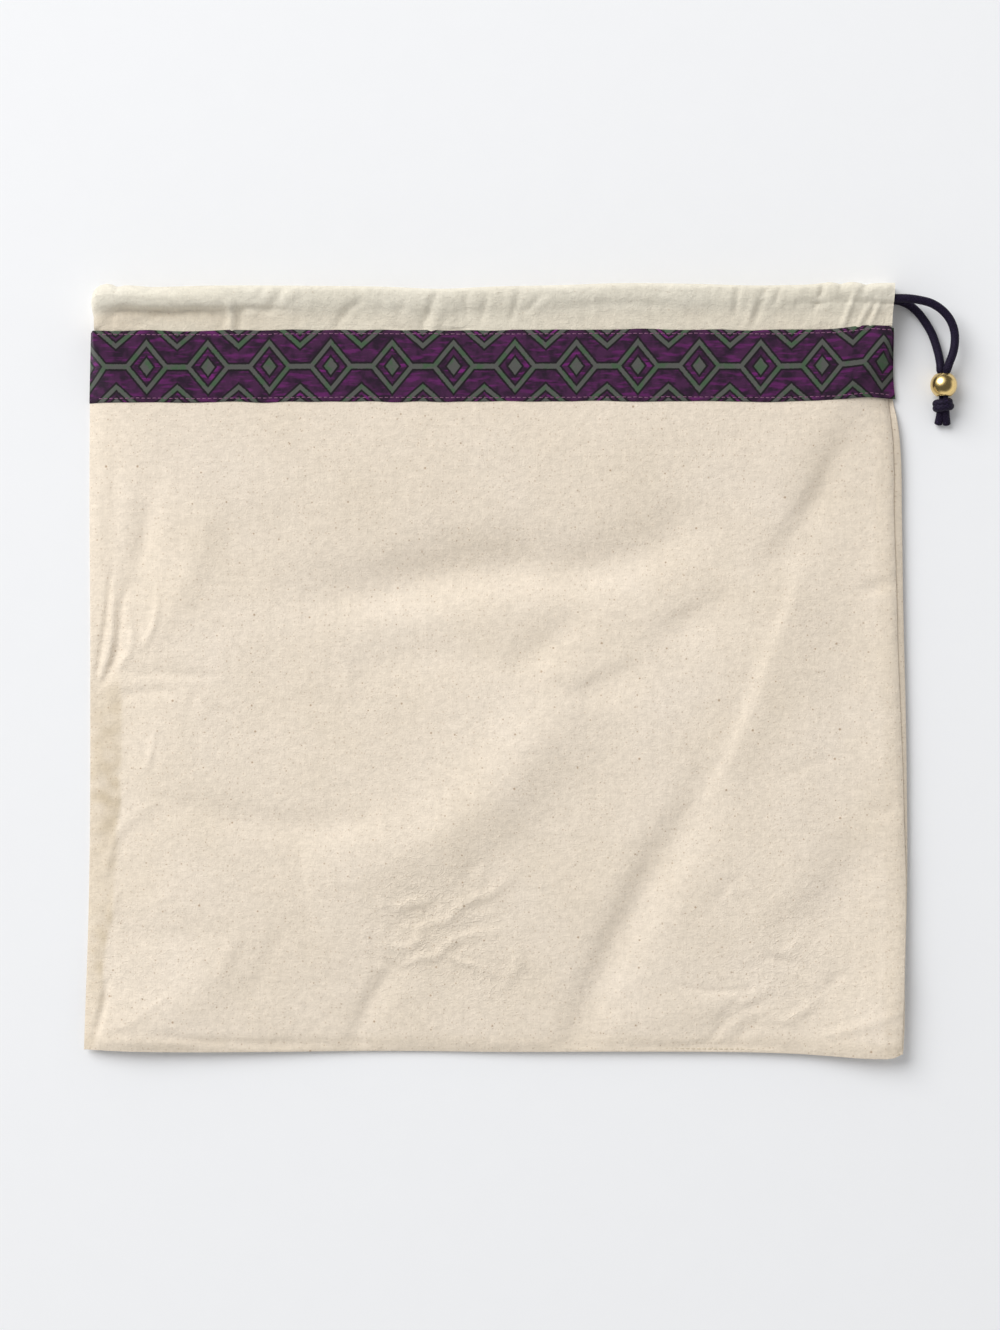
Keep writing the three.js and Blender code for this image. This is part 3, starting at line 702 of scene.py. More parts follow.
class Wires:
    """Short calls that lay out one node tree."""

    def __init__(self, tree):
        self.tree = tree

    def feed(self, socket, value):
        if isinstance(value, bpy.types.NodeSocket):
            self.tree.links.new(value, socket)
        else:
            socket.default_value = value

    def add(self, kind, inputs=None, **settings):
        item = self.tree.nodes.new(kind)
        for key, value in settings.items():
            setattr(item, key, value)
        for key, value in (inputs or {}).items():
            self.feed(item.inputs[key], value)
        return item

    def math(self, operation, *values):
        item = self.add("ShaderNodeMath", operation=operation)
        for socket, value in zip(item.inputs, values):
            self.feed(socket, value)
        return item.outputs[0]

    def scaled(self, vector, factors):
        item = self.add("ShaderNodeVectorMath", {0: vector, 1: factors}, operation="MULTIPLY")
        return item.outputs["Vector"]

    def step(self, value, low, high, smooth=True):
        """0 at low, 1 at high; low may be the larger."""
        item = self.add("ShaderNodeMapRange", {"Value": value, "From Min": low, "From Max": high})
        item.interpolation_type = "SMOOTHSTEP" if smooth else "LINEAR"
        return item.outputs["Result"]

    def mix(self, factor, first, second):
        item = self.add("ShaderNodeMix", data_type="RGBA")
        self.feed(item.inputs[0], factor)
        self.feed(item.inputs[6], first)
        self.feed(item.inputs[7], second)
        return item.outputs[2]

    def noise(self, vector, scale, detail=2.0, roughness=0.5):
        inputs = {"Vector": vector, "Scale": scale, "Detail": detail, "Roughness": roughness}
        return self.add("ShaderNodeTexNoise", inputs).outputs["Fac"]

    def axes(self, vector):
        return self.add("ShaderNodeSeparateXYZ", {"Vector": vector}).outputs

    def dimmed(self, colour, share):
        item = self.add("ShaderNodeVectorMath", {0: colour, "Scale": share}, operation="SCALE")
        return item.outputs["Vector"]

    def marked(self, name):
        return self.add("ShaderNodeAttribute", attribute_name=name).outputs["Fac"]

    def place(self, kind):
        return self.add("ShaderNodeTexCoord").outputs[kind]


def rgba(colour, share=1.0):
    """Colour for a socket, or a share of it as a darker or brighter one."""
    return (*(share * value for value in colour), 1.0)


def node_group(name, inputs, outputs):
    """New shader node group; returns its wires, its inputs by name and its output node."""
    group = bpy.data.node_groups.new(name, "ShaderNodeTree")
    for label, kind in inputs:
        group.interface.new_socket(name=label, in_out="INPUT", socket_type=kind)
    for label, kind in outputs:
        group.interface.new_socket(name=label, in_out="OUTPUT", socket_type=kind)
    wires = Wires(group)
    return wires, wires.add("NodeGroupInput").outputs, wires.add("NodeGroupOutput").inputs


FLOAT = "NodeSocketFloat"
VECTOR = "NodeSocketVector"


def shared_group(name, build):
    """A node group that is built once and then shared."""
    return bpy.data.node_groups.get(name) or build(name)


def plain_weave(name):
    """Over and under of a plain weave: height of the threads, and which of the two lies on top."""
    wires, given, out = node_group(
        name, [("Flat", VECTOR), ("Pitch", FLOAT)], [("Height", FLOAT), ("Warp", FLOAT)]
    )
    u, v, _ = wires.axes(given["Flat"])
    waves = []
    for place in (u, v):
        turn = wires.math("MULTIPLY", wires.math("DIVIDE", place, given["Pitch"]), math.pi)
        waves.append(wires.math("SINE", turn))
    warp = wires.step(wires.math("MULTIPLY", *waves), -0.15, 0.15)
    across, along = (wires.math("ABSOLUTE", wave) for wave in waves)
    warp_height = wires.math("MULTIPLY", across, wires.math("MULTIPLY_ADD", along, 0.5, 0.5))
    weft_height = wires.math("MULTIPLY", along, wires.math("MULTIPLY_ADD", across, 0.5, 0.5))
    lift = wires.math("SUBTRACT", warp_height, weft_height)
    wires.feed(out["Height"], wires.math("MULTIPLY_ADD", lift, warp, weft_height))
    wires.feed(out["Warp"], warp)
    return wires.tree


# Seed flecks: cells in a metre, chance, size and depth of colour
FLECKS = [(70, 0.5, 0.06, 0.9), (170, 0.52, 0.11, 0.7), (400, 0.3, 0.26, 0.4)]
WRINKLE_SCALES = (95.0, 190.0)


def raw_cotton(name):
    """Uneven threads, seed flecks and slow mottling of unbleached cotton."""
    effects = ("Slub", "Fleck", "Mottle", "Crumple_and_shade", "Wrinkle")
    wires, given, out = node_group(name, [("Flat", VECTOR)], [(effect, FLOAT) for effect in effects])
    flat = given["Flat"]
    upright = wires.noise(wires.scaled(flat, (1400, 80, 1)), 1.0, 1.5)
    level = wires.noise(wires.scaled(flat, (90, 1300, 1)), 1.0, 1.5)
    grain = wires.noise(flat, 900.0, 2.0, 0.6)
    threads = wires.math("ADD", wires.math("ADD", upright, level), grain)
    wires.feed(out["Slub"], wires.math("DIVIDE", threads, 3.0))
    masks = []
    for scale, least, size, depth in FLECKS:
        where = {"Vector": flat, "Scale": scale}
        cells = wires.add("ShaderNodeTexVoronoi", where, voronoi_dimensions="2D")
        chance = wires.axes(cells.outputs["Color"])
        width = wires.math("MULTIPLY", chance[1], size)
        spot = wires.step(cells.outputs["Distance"], width, wires.math("MULTIPLY", width, 0.3))
        some = wires.step(chance[0], least, least + 0.12)
        masks.append(wires.math("MULTIPLY", spot, wires.math("MULTIPLY", some, depth)))
    wires.feed(out["Fleck"], wires.math("MAXIMUM", wires.math("MAXIMUM", *masks[:2]), masks[2]))
    wires.feed(out["Mottle"], wires.noise(flat, 17.0, 3.0, 0.55))
    wires.feed(out["Crumple_and_shade"], wires.noise(flat, 240.0, 4.0, 0.8))
    lines = []
    for scale in WRINKLE_SCALES:
        wander = wires.noise(wires.scaled(flat, (1, 1.5, 1)), scale, 2.0, 0.55)
        off_line = wires.math("ABSOLUTE", wires.math("SUBTRACT", wander, 0.5))
        lines.append(wires.step(off_line, 0.05, 0.0))
    wires.feed(out["Wrinkle"], wires.math("ADD", *lines))
    return wires.tree


def braid_cells(name):
    """Diamond cells of a round braid from UVs along and around the cord."""
    wires, given, out = node_group(
        name, [("Flat", VECTOR), ("Cell", FLOAT), ("Around", FLOAT)], [("GrooveShade", FLOAT), ("Yarn", FLOAT)]
    )
    along, around, _ = wires.axes(given["Flat"])
    lengthwise = wires.math("DIVIDE", along, given["Cell"])
    crosswise = wires.math("DIVIDE", around, given["Around"])
    rises = []
    for operation in ("ADD", "SUBTRACT"):
        turn = wires.math("MULTIPLY", wires.math(operation, lengthwise, crosswise), math.pi)
        rises.append(wires.math("SINE", turn))
    product = wires.math("MULTIPLY", *rises)
    wires.feed(out["GrooveShade"], wires.step(wires.math("ABSOLUTE", product), 0.35, 0.0))
    lean = wires.mix(wires.step(product, -0.05, 0.05), (1500, 700, 1, 1), (1500, -700, 1, 1))
    wires.feed(out["Yarn"], wires.noise(wires.scaled(given["Flat"], lean), 1.0, 1.0))
    return wires.tree


# Half sizes of the ribbon's lozenges, and the bar that joins them, in millimetres
LOZENGE = (9.6, 11.6)
EDGE_LOZENGE = (8.6, 7.6)
CORE = (2.0, 2.6)
EDGE_CORE = (1.2, 1.0)
BAR_START = 10.6
BAR_HALF = 0.2
GROUND_BLUR = 0.5


def lozenge_band(name):
    """Chain of lozenges with half lozenges along both edges, from UVs along and across a ribbon."""
    wires, given, out = node_group(
        name,
        [("Flat", VECTOR), ("Repeat", FLOAT), ("Width", FLOAT)],
        [("Distance", FLOAT), ("Inside", FLOAT)],
    )
    u, v, _ = wires.axes(given["Flat"])
    half = wires.math("MULTIPLY", given["Repeat"], 0.5)
    x = wires.math("PINGPONG", u, half)
    middle = wires.math("MULTIPLY", given["Width"], 0.5)
    y = wires.math("ABSOLUTE", wires.math("SUBTRACT", v, middle))
    from_side = wires.math("SUBTRACT", half, x)
    from_edge = wires.math("SUBTRACT", middle, y)

    def lozenge(across, along, wide, tall):
        """Signed distance in metres to a lozenge with these half sizes, in millimetres."""
        wide_share = wires.math("DIVIDE", across, wide * MM)
        tall_share = wires.math("DIVIDE", along, tall * MM)
        total = wires.math("ADD", wide_share, tall_share)
        even = MM / math.hypot(1 / wide, 1 / tall)
        return wires.math("MULTIPLY", wires.math("SUBTRACT", total, 1.0), even)

    large = lozenge(x, y, *LOZENGE)
    edge = lozenge(from_side, from_edge, *EDGE_LOZENGE)
    core = lozenge(x, y, *CORE)
    edge_core = lozenge(from_side, from_edge, *EDGE_CORE)
    bar_end = wires.math("SUBTRACT", BAR_START * MM, x)
    bar = wires.math("MAXIMUM", wires.math("SUBTRACT", y, BAR_HALF * MM), bar_end)
    nearest = wires.math("MINIMUM", wires.math("ABSOLUTE", large), wires.math("ABSOLUTE", edge))
    for filled in (core, edge_core, bar):
        nearest = wires.math("MINIMUM", nearest, wires.math("MAXIMUM", filled, 0.0))
    wires.feed(out["Distance"], nearest)
    inside = wires.math("MINIMUM", large, edge)
    wires.feed(out["Inside"], wires.step(inside, GROUND_BLUR * MM, -GROUND_BLUR * MM))
    return wires.tree


def new_material(name, roughness, **constants):
    """Material with a Principled shader; constants are set on its own sockets."""
    material = bpy.data.materials.new(name)
    material.use_nodes = True
    material.node_tree.nodes.clear()
    wires = Wires(material.node_tree)
    shader = wires.add("ShaderNodeBsdfPrincipled", {"Roughness": roughness})
    for key, value in constants.items():
        shader.inputs[key.replace("_", " ")].default_value = value
    output = wires.add("ShaderNodeOutputMaterial")
    wires.feed(output.inputs["Surface"], shader.outputs["BSDF"])
    return material, wires, shader


def placed(wires, name, build, **inputs):
    """A shared group placed in a material with its own values; returns its outputs."""
    item = wires.add("ShaderNodeGroup", node_tree=shared_group(name, build))
    for key, value in inputs.items():
        wires.feed(item.inputs[key], value)
    return item.outputs


def bump(wires, shader, height, distance, strength=1.0):
    inputs = {"Height": height, "Distance": distance * MM, "Strength": strength}
    wires.feed(shader.inputs["Normal"], wires.add("ShaderNodeBump", inputs).outputs["Normal"])


def shared_material(name, build):
    """A material that is built once and then shared."""
    return bpy.data.materials.get(name) or build(name)


MOTTLE_TINT = (0.94, 0.93, 0.90)


def cotton_material(name, colour, doubled_and_shaded_tint, fleck_share):
    """Unbleached cotton: plain weave, slubs, seed flecks, a yellower tint where it is doubled, the same
    tint as painted shade along shaded edges, and painted shade of the weave and of fine crumples.
    """
    material, wires, shader = new_material(
        name, 0.95, Sheen_Weight=0.12, Sheen_Roughness=0.6, Specular_IOR_Level=0.2
    )
    flat = wires.place("UV")
    weave = placed(wires, "Plain weave", plain_weave, Flat=flat, Pitch=sizes().thread_pitch)
    raw = placed(wires, "Raw cotton", raw_cotton, Flat=flat)
    # The mark holds both doubled cloth and painted shade along edges; both take the yellower, darker tint
    base = wires.mix(wires.marked("doubled_and_shaded"), rgba(colour), rgba(doubled_and_shaded_tint))
    deeper = tuple(share * value for share, value in zip(MOTTLE_TINT, colour))
    base = wires.mix(wires.step(raw["Mottle"], 0.75, 0.25, False), base, rgba(deeper))
    uneven = wires.step(raw["Slub"], 0.36, 0.64, False)
    tones = {"Value": uneven, "To Min": 0.955, "To Max": 1.035}
    shade = wires.add("ShaderNodeMapRange", tones).outputs["Result"]
    # Painted shade between the threads of the weave
    shade = wires.math("MULTIPLY", shade, wires.math("MULTIPLY_ADD", weave["Height"], 0.02, 0.987))
    # Painted shade of fine crumples: the crumple noise darkens and lightens the colour as well as bumping
    # it
    shade = wires.math("MULTIPLY", shade, wires.math("MULTIPLY_ADD", raw["Crumple_and_shade"], 0.46, 0.77))
    toned = wires.dimmed(base, shade)
    fleck = wires.math("MULTIPLY", raw["Fleck"], fleck_share)
    wires.feed(shader.inputs["Base Color"], wires.mix(fleck, toned, rgba(colours().fleck)))
    height = wires.math("MULTIPLY_ADD", weave["Height"], 0.3, wires.math("MULTIPLY", raw["Slub"], 1.2))
    height = wires.math("MULTIPLY_ADD", raw["Crumple_and_shade"], 9.0, height)
    wrinkles = wires.math("MULTIPLY", raw["Wrinkle"], wires.marked("creased"))
    height = wires.math("MULTIPLY_ADD", wrinkles, 2.2, height)
    bump(wires, shader, height, 0.12, 0.55)
    return material


def face_cotton(name):
    return cotton_material(name, colours().cotton, colours().cotton_doubled_and_shaded, 0.75)


def casing_cotton(name):
    return cotton_material(name, colours().casing, colours().casing_hem_and_shade, 0.35)


THREAD_SHAKE = 0.5
RIBBON_PITCH = 0.42
LINE_BLUR = 0.22
# Shares of a material's own colour in its darker or brighter parts
THREAD_DEEP = 0.62
YARN_BRIGHT = 2.4
RUBBED_GOLD = 0.86
PAPER_TOOTH = 0.985


def ribbon_material(name):
    """Purple ribbon with grey-green lozenge lines rimmed in near black."""
    material, wires, shader = new_material(
        name, 0.8, Sheen_Weight=0.09, Sheen_Roughness=0.5, Specular_IOR_Level=0.2
    )
    flat = wires.place("UV")
    shake = wires.noise(wires.scaled(flat, (900, 900, 1)), 1.0, 2.0)
    slant = wires.add("ShaderNodeCombineXYZ", {"X": shake, "Y": shake}).outputs["Vector"]
    moved = wires.scaled(slant, (THREAD_SHAKE * MM, THREAD_SHAKE * MM, 0))
    shaken = wires.add("ShaderNodeVectorMath", {0: flat, 1: moved}, operation="ADD")
    band = placed(
        wires, "Lozenge band", lozenge_band,
        Flat=shaken.outputs["Vector"], Repeat=sizes().motif, Width=(RIBBON_HEAD - RIBBON_FOOT) * MM,
    )
    weave = placed(wires, "Plain weave", plain_weave, Flat=flat, Pitch=RIBBON_PITCH * MM)
    cloudy = wires.noise(flat, 150.0, 2.0, 0.6)
    streaky = wires.noise(wires.scaled(flat, (90, 420, 1)), 1.0, 2.0)
    ground = wires.mix(wires.step(cloudy, 0.35, 0.62), rgba(colours().ribbon_deep), rgba(colours().ribbon))
    more_inside = wires.math("MULTIPLY_ADD", band["Inside"], 0.5, 0.5)
    bright = wires.math("MULTIPLY", wires.step(streaky, 0.48, 0.7), more_inside)
    ground = wires.mix(bright, ground, rgba(colours().ribbon_bright))
    thread = wires.mix(wires.step(cloudy, 0.45, 0.65), rgba(colours().line), rgba(colours().line_green))
    line = sizes().line
    rim = line + sizes().outline
    blur = LINE_BLUR * MM
    face = wires.mix(wires.step(band["Distance"], rim + blur, rim - blur), ground, rgba(colours().outline))
    face = wires.mix(wires.step(band["Distance"], line + blur, line - blur), face, thread)
    # Painted shade between the ribbon's threads: the weave darkens the colour in its hollows
    shade = wires.math("MULTIPLY_ADD", weave["Height"], 0.35, 0.78)
    wires.feed(shader.inputs["Base Color"], wires.dimmed(face, shade))
    raised = wires.step(band["Distance"], rim, line)
    bump(wires, shader, wires.math("MULTIPLY_ADD", raised, 0.8, weave["Height"]), 0.12, 0.6)
    return material


def thread_material(name, colour):
    """Twisted sewing thread."""
    material, wires, shader = new_material(name, 0.6, Sheen_Weight=0.2)
    fuzz = wires.noise(wires.place("Object"), 2600.0, 2.0)
    wires.feed(shader.inputs["Base Color"], wires.mix(fuzz, rgba(colour, THREAD_DEEP), rgba(colour)))
    bump(wires, shader, fuzz, 0.06, 0.6)
    return material


def topstitch_thread(name):
    return thread_material(name, colours().topstitch)


def seam_thread(name):
    return thread_material(name, colours().seam_thread)


def cord_material(name):
    """Dark braided cord with a faint sheen on its yarns."""
    material, wires, shader = new_material(
        name, 0.62, Sheen_Weight=0.05, Sheen_Roughness=0.4, Specular_IOR_Level=0.12
    )
    flat = wires.place("UV")
    cells = placed(
        wires, "Braid cells", braid_cells,
        Flat=flat, Cell=sizes().braid, Around=math.pi * sizes().cord / BRAID_CELLS,
    )
    yarn = wires.step(cells["Yarn"], 0.3, 0.7, False)
    face = wires.mix(yarn, rgba(colours().cord), rgba(colours().cord, YARN_BRIGHT))
    # Painted shade: the braid's grooves take the darker cord colour
    face = wires.mix(cells["GrooveShade"], face, rgba(colours().cord_groove_shade))
    fuzz = wires.step(wires.noise(flat, 1500.0, 2.0, 0.7), 0.56, 0.72)
    face = wires.mix(wires.math("MULTIPLY", fuzz, 0.5), face, rgba(colours().cord_fuzz))
    wires.feed(shader.inputs["Base Color"], face)
    wires.feed(shader.inputs["Roughness"], wires.math("MULTIPLY_ADD", yarn, -0.16, 0.7))
    bump(wires, shader, cells["Yarn"], 0.1, 0.5)
    return material


def gold_material(name):
    """Polished plated metal with faint rubbing marks."""
    material, wires, shader = new_material(name, 0.12, Metallic=1.0)
    rubbed = wires.noise(wires.scaled(wires.place("Object"), (900, 160, 900)), 1.0, 3.0)
    gold = colours().gold
    wires.feed(shader.inputs["Base Color"], wires.mix(rubbed, rgba(gold), rgba(gold, RUBBED_GOLD)))
    wires.feed(shader.inputs["Roughness"], wires.math("MULTIPLY_ADD", rubbed, 0.08, 0.17))
    bump(wires, shader, rubbed, 0.02, 0.15)
    return material


def floor_material(name):
    """Smooth pale paper with the faintest tooth."""
    material, wires, shader = new_material(name, 0.9, Specular_IOR_Level=0.1)
    tooth = wires.noise(wires.place("Object"), 60.0, 3.0)
    paper = colours().floor
    wires.feed(shader.inputs["Base Color"], wires.mix(tooth, rgba(paper), rgba(paper, PAPER_TOOTH)))
    return material


# Stage

LENS = 85.0
CAMERA_AIM = (2.4 * MM, 2.9 * MM)
CAMERA_HEIGHT = 1.546
KEY_DIRECTION = (-0.84, 0.84, 1.0)
KEY_DISTANCE = 5.5
KEY_SIZE = 4.7
KEY_POWER = 266.0
FLOOR_SIZE = 8.0
WORLD_HORIZON = 0.95
WORLD_SKY = 0.48
WORLD_OVERHEAD = 0.12
WORLD_CEILING = 0.13
WORLD_GLOW = 1.3
# From none to full: height of a direction, its lean to the lower right, its nearness to the key
SKY_FROM = (0.1, 0.55)
OVERHEAD_FROM = (0.9, 0.96)
WALL_FROM = (0.1, 0.7)
CEILING_FROM = (0.2, 0.6)
GLOW_FROM = (0.66, 0.95)


def grey(value):
    return (value, value, value, 1)


def pale_room(to_key):
    """Pale surroundings; polished metal mirrors a dim ceiling, a pale wall and the glow of the key."""
    world = bpy.data.worlds.new("pale_room")
    world.use_nodes = True
    world.node_tree.nodes.clear()
    wires = Wires(world.node_tree)
    view = wires.place("Generated")
    right, away, up = wires.axes(view)
    around = wires.mix(wires.step(up, *SKY_FROM), grey(WORLD_HORIZON), grey(WORLD_SKY))
    room = wires.mix(wires.step(up, *OVERHEAD_FROM), around, grey(WORLD_OVERHEAD))
    lower_right = wires.step(wires.math("SUBTRACT", right, away), *WALL_FROM)
    wall = wires.mix(lower_right, grey(WORLD_CEILING), grey(WORLD_HORIZON))
    mirrored = wires.mix(wires.step(up, *CEILING_FROM), wall, grey(WORLD_CEILING))
    facing = wires.add("ShaderNodeVectorMath", {0: view, 1: to_key}, operation="DOT_PRODUCT")
    near_key = wires.step(facing.outputs["Value"], *GLOW_FROM)
    mirrored = wires.mix(near_key, mirrored, grey(WORLD_GLOW))
    glossy = wires.add("ShaderNodeLightPath").outputs["Is Glossy Ray"]
    seen = wires.mix(glossy, room, mirrored)
    background = wires.add("ShaderNodeBackground", {"Color": seen, "Strength": 1.0})
    output = wires.add("ShaderNodeOutputWorld")
    wires.feed(output.inputs["Surface"], background.outputs["Background"])
    return world


class DUSTBAG_OT_stage(bpy.types.Operator):
    """Camera straight above, one large soft key from the upper left, pale surroundings and a pale floor"""

    bl_idname = "dustbag.stage"
    bl_label = "Stage"

    def execute(self, context):
        clear_selection()
        bpy.ops.object.camera_add(location=(*CAMERA_AIM, CAMERA_HEIGHT), rotation=(0, 0, 0))
        context.scene.camera = named(context.object, "camera")
        context.object.data.lens = LENS
        context.scene.view_settings.view_transform = "Standard"
        to_key = np.array(KEY_DIRECTION) / np.linalg.norm(KEY_DIRECTION)
        tilt = math.acos(to_key[2])
        turn = math.atan2(-to_key[0], to_key[1]) + math.pi
        spot = tuple(to_key * KEY_DISTANCE)
        bpy.ops.object.light_add(type="AREA", location=spot, rotation=(tilt, 0, turn))
        key = named(context.object, "key_light").data
        key.shape = "DISK"
        key.size = KEY_SIZE
        key.energy = KEY_POWER
        context.scene.world = pale_room(tuple(to_key))
        clear_selection()
        bpy.ops.mesh.primitive_plane_add(size=FLOOR_SIZE)
        floor = named(context.object, "floor")
        floor.data.materials.append(shared_material("Pale paper", floor_material))
        return {"FINISHED"}


# Cord

BRAID_CELLS = 8
BRAID_MIDDLE = 0.45
CORD_SIDES = 48
CORD_STEP = 0.3
CORD_END_ROWS = 6
CORD_END_BULGE = 0.45
LONG_CORD_SIDES = 40
LONG_CORD_STEPS = 760
LONG_CORD_TURN_STEPS = 24
ROUTE_SPANS = 40
BEAD_SEGMENTS = 96
BEAD_RINGS = 72
BORE_CUTS = 12
BORE_EDGE = 0.45
BORE_EDGE_STEPS = 5
SAME_HEIGHT = 1e-6
# The knot: its wraps, their slant, how bluntly they begin and end, and where the first one starts
KNOT_WRAP = 3.9
KNOT_TURNS = 2.1
KNOT_STEPS = 260
KNOT_SLANT = 0.11
KNOT_SLANT_TURN = 0.35
KNOT_SPAN = 1.06
KNOT_LEAD = 0.03
KNOT_BLUNTNESS = 0.24
KNOT_TOP_WIDTH = 1.05
KNOT_NARROWING = 0.3
KNOT_START = (0.5, 2.2, -0.1)
KNOT_START_TURN = math.radians(-20)
KNOT_LEAN = 1.2
KNOT_FALL = 4.6
KNOT_THINNING = 0.08
# Each tail's route: inward from its middle, up from its end, above its level, apart from the other tail
TAIL_TOP = (1.1, 2.6, -0.6, 0.7)
TAIL_MIDDLE = (0.75, -0.6, 0.0, 0.5)
TAIL_TIP = (0.1, 1.7, 0.15, 0.0)
TAIL_FULLNESS = 0.96
# How far strands and legs run into bead and knot, and where the legs are pinched
STRAND_IN_BEAD = 1.2
STRAND_IN_KNOT = 1.6
LEG_ABOVE_BEAD = 1.2
LEG_IN_BEAD = 1.6
LEG_APART = 0.5
LEG_FULLNESS = 1.02
LEG_PINCH = (0.2, 4.0)


def tube(name, path, radius, sides=CORD_SIDES):
    """Closed braided tube along dense points; radius is a number or one value for each point."""
    path = np.array(path, float)
    ahead = np.gradient(path, axis=0)
    ahead /= np.linalg.norm(ahead, axis=1)[:, None]
    length = running_length(path)
    radius = np.broadcast_to(np.asarray(radius, float), (len(path),))
    # One side direction is carried along the path without twist
    side = np.empty_like(path)
    first = np.cross(ahead[0], (0.0, 0.0, 1.0))
    side[0] = first / np.linalg.norm(first)
    for k in range(1, len(path)):
        across = side[k - 1] - ahead[k] * (side[k - 1] @ ahead[k])
        side[k] = across / np.linalg.norm(across)
    up = np.cross(side, ahead)
    steps = len(path) - 1
    rows = steps + 2 * CORD_END_ROWS

    def place(s, t):
        # The first and last stations draw in to a point, as the end of a cut cord does
        row = s * rows - CORD_END_ROWS
        k = np.clip(row, 0, steps)
        over = np.clip(np.abs(row - k) / CORD_END_ROWS, 0, 1)
        low = np.minimum(k.astype(int), steps - 1)
        part = (k - low)[:, None]

        def between(values):
            return values[low] * (1 - part) + values[low + 1] * part

        wide = between(radius[:, None])[:, 0]
        dome = np.sqrt(np.maximum(1 - over ** 2, 0))
        angle = 2 * math.pi * t
        along = between(length[:, None])[:, 0]
        cell = in_mm("braid")
        turn_a = math.pi * (along / cell + t * BRAID_CELLS)
        turn_b = math.pi * (along / cell - t * BRAID_CELLS)
        cells = np.sqrt(np.abs(np.sin(turn_a) * np.sin(turn_b)))
        groove = in_mm("braid_depth") * (cells - BRAID_MIDDLE) * dome * wide / (in_mm("cord") / 2)
        size = wide * dome + groove
        out = between(side) * np.cos(angle)[:, None] + between(up) * np.sin(angle)[:, None]
        push = np.sign(row - k) * over * wide * CORD_END_BULGE
        points = between(path) + between(ahead) * push[:, None] + out * size[:, None]
        return points, np.stack([along + push, t * math.pi * in_mm("cord")], 1)

    obj = grid_piece(name, rows, sides, place)
    close_tube(obj)
    return obj


def even_path(points, step):
    """The curve through points again, with points a step apart."""
    dense = through(points, ROUTE_SPANS)
    place = running_length(dense)
    at = np.linspace(0, place[-1], max(2, round(place[-1] / step) + 1))
    return np.stack([np.interp(at, place, axis) for axis in dense.T], 1)


def path_length(path):
    return float(np.linalg.norm(np.diff(path, axis=0), axis=1).sum())


def braided():
    return shared_material("Braided cord", cord_material)


class DUSTBAG_OT_bead(bpy.types.Operator):
    """Polished ball with a straight bore and rounded bore edges"""

    bl_idname = "dustbag.bead"
    bl_label = "Bead"

    def execute(self, context):
        clear_selection()
        radius = BEAD_RADIUS * MM
        bpy.ops.mesh.primitive_uv_sphere_add(segments=BEAD_SEGMENTS, ring_count=BEAD_RINGS, radius=radius)
        bead = named(context.object, "bead_ball")
        bpy.ops.object.mode_set(mode="EDIT")
        bpy.ops.mesh.select_all(action="DESELECT")
        bpy.ops.object.mode_set(mode="OBJECT")
        for face in bead.data.polygons:
            face.select = bool(abs(face.center.z) > BEAD_HALF_LENGTH * MM)
        bpy.ops.object.mode_set(mode="EDIT")
        bpy.ops.mesh.delete(type="FACE")
        bpy.ops.mesh.select_all(action="SELECT")
        bpy.ops.mesh.region_to_loop()
        bpy.ops.mesh.bridge_edge_loops(number_cuts=BORE_CUTS)
        bpy.ops.mesh.select_all(action="SELECT")
        bpy.ops.mesh.normals_make_consistent(inside=False)
        bpy.ops.mesh.select_all(action="DESELECT")
        bpy.ops.object.mode_set(mode="OBJECT")
        rim = max(abs(vertex.co.z) for vertex in bead.data.vertices)
        for edge in bead.data.edges:
            heights = [abs(bead.data.vertices[i].co.z) for i in edge.vertices]
            edge.select = all(abs(height - rim) < SAME_HEIGHT for height in heights)
        bpy.ops.object.mode_set(mode="EDIT")
        bpy.ops.mesh.bevel(offset=BORE_EDGE * MM, segments=BORE_EDGE_STEPS, affect="EDGES")
        bpy.ops.mesh.select_all(action="SELECT")
        bpy.ops.transform.rotate(value=math.pi / 2, orient_axis="X", center_override=(0, 0, 0))
        bpy.ops.transform.translate(value=tuple(BEAD_CENTRE * MM))
        bpy.ops.object.mode_set(mode="OBJECT")
        bpy.ops.object.shade_smooth()
        dress(bead, shared_material("Polished gold", gold_material), ["bead"])
        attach(bead, "bead")
        return {"FINISHED"}


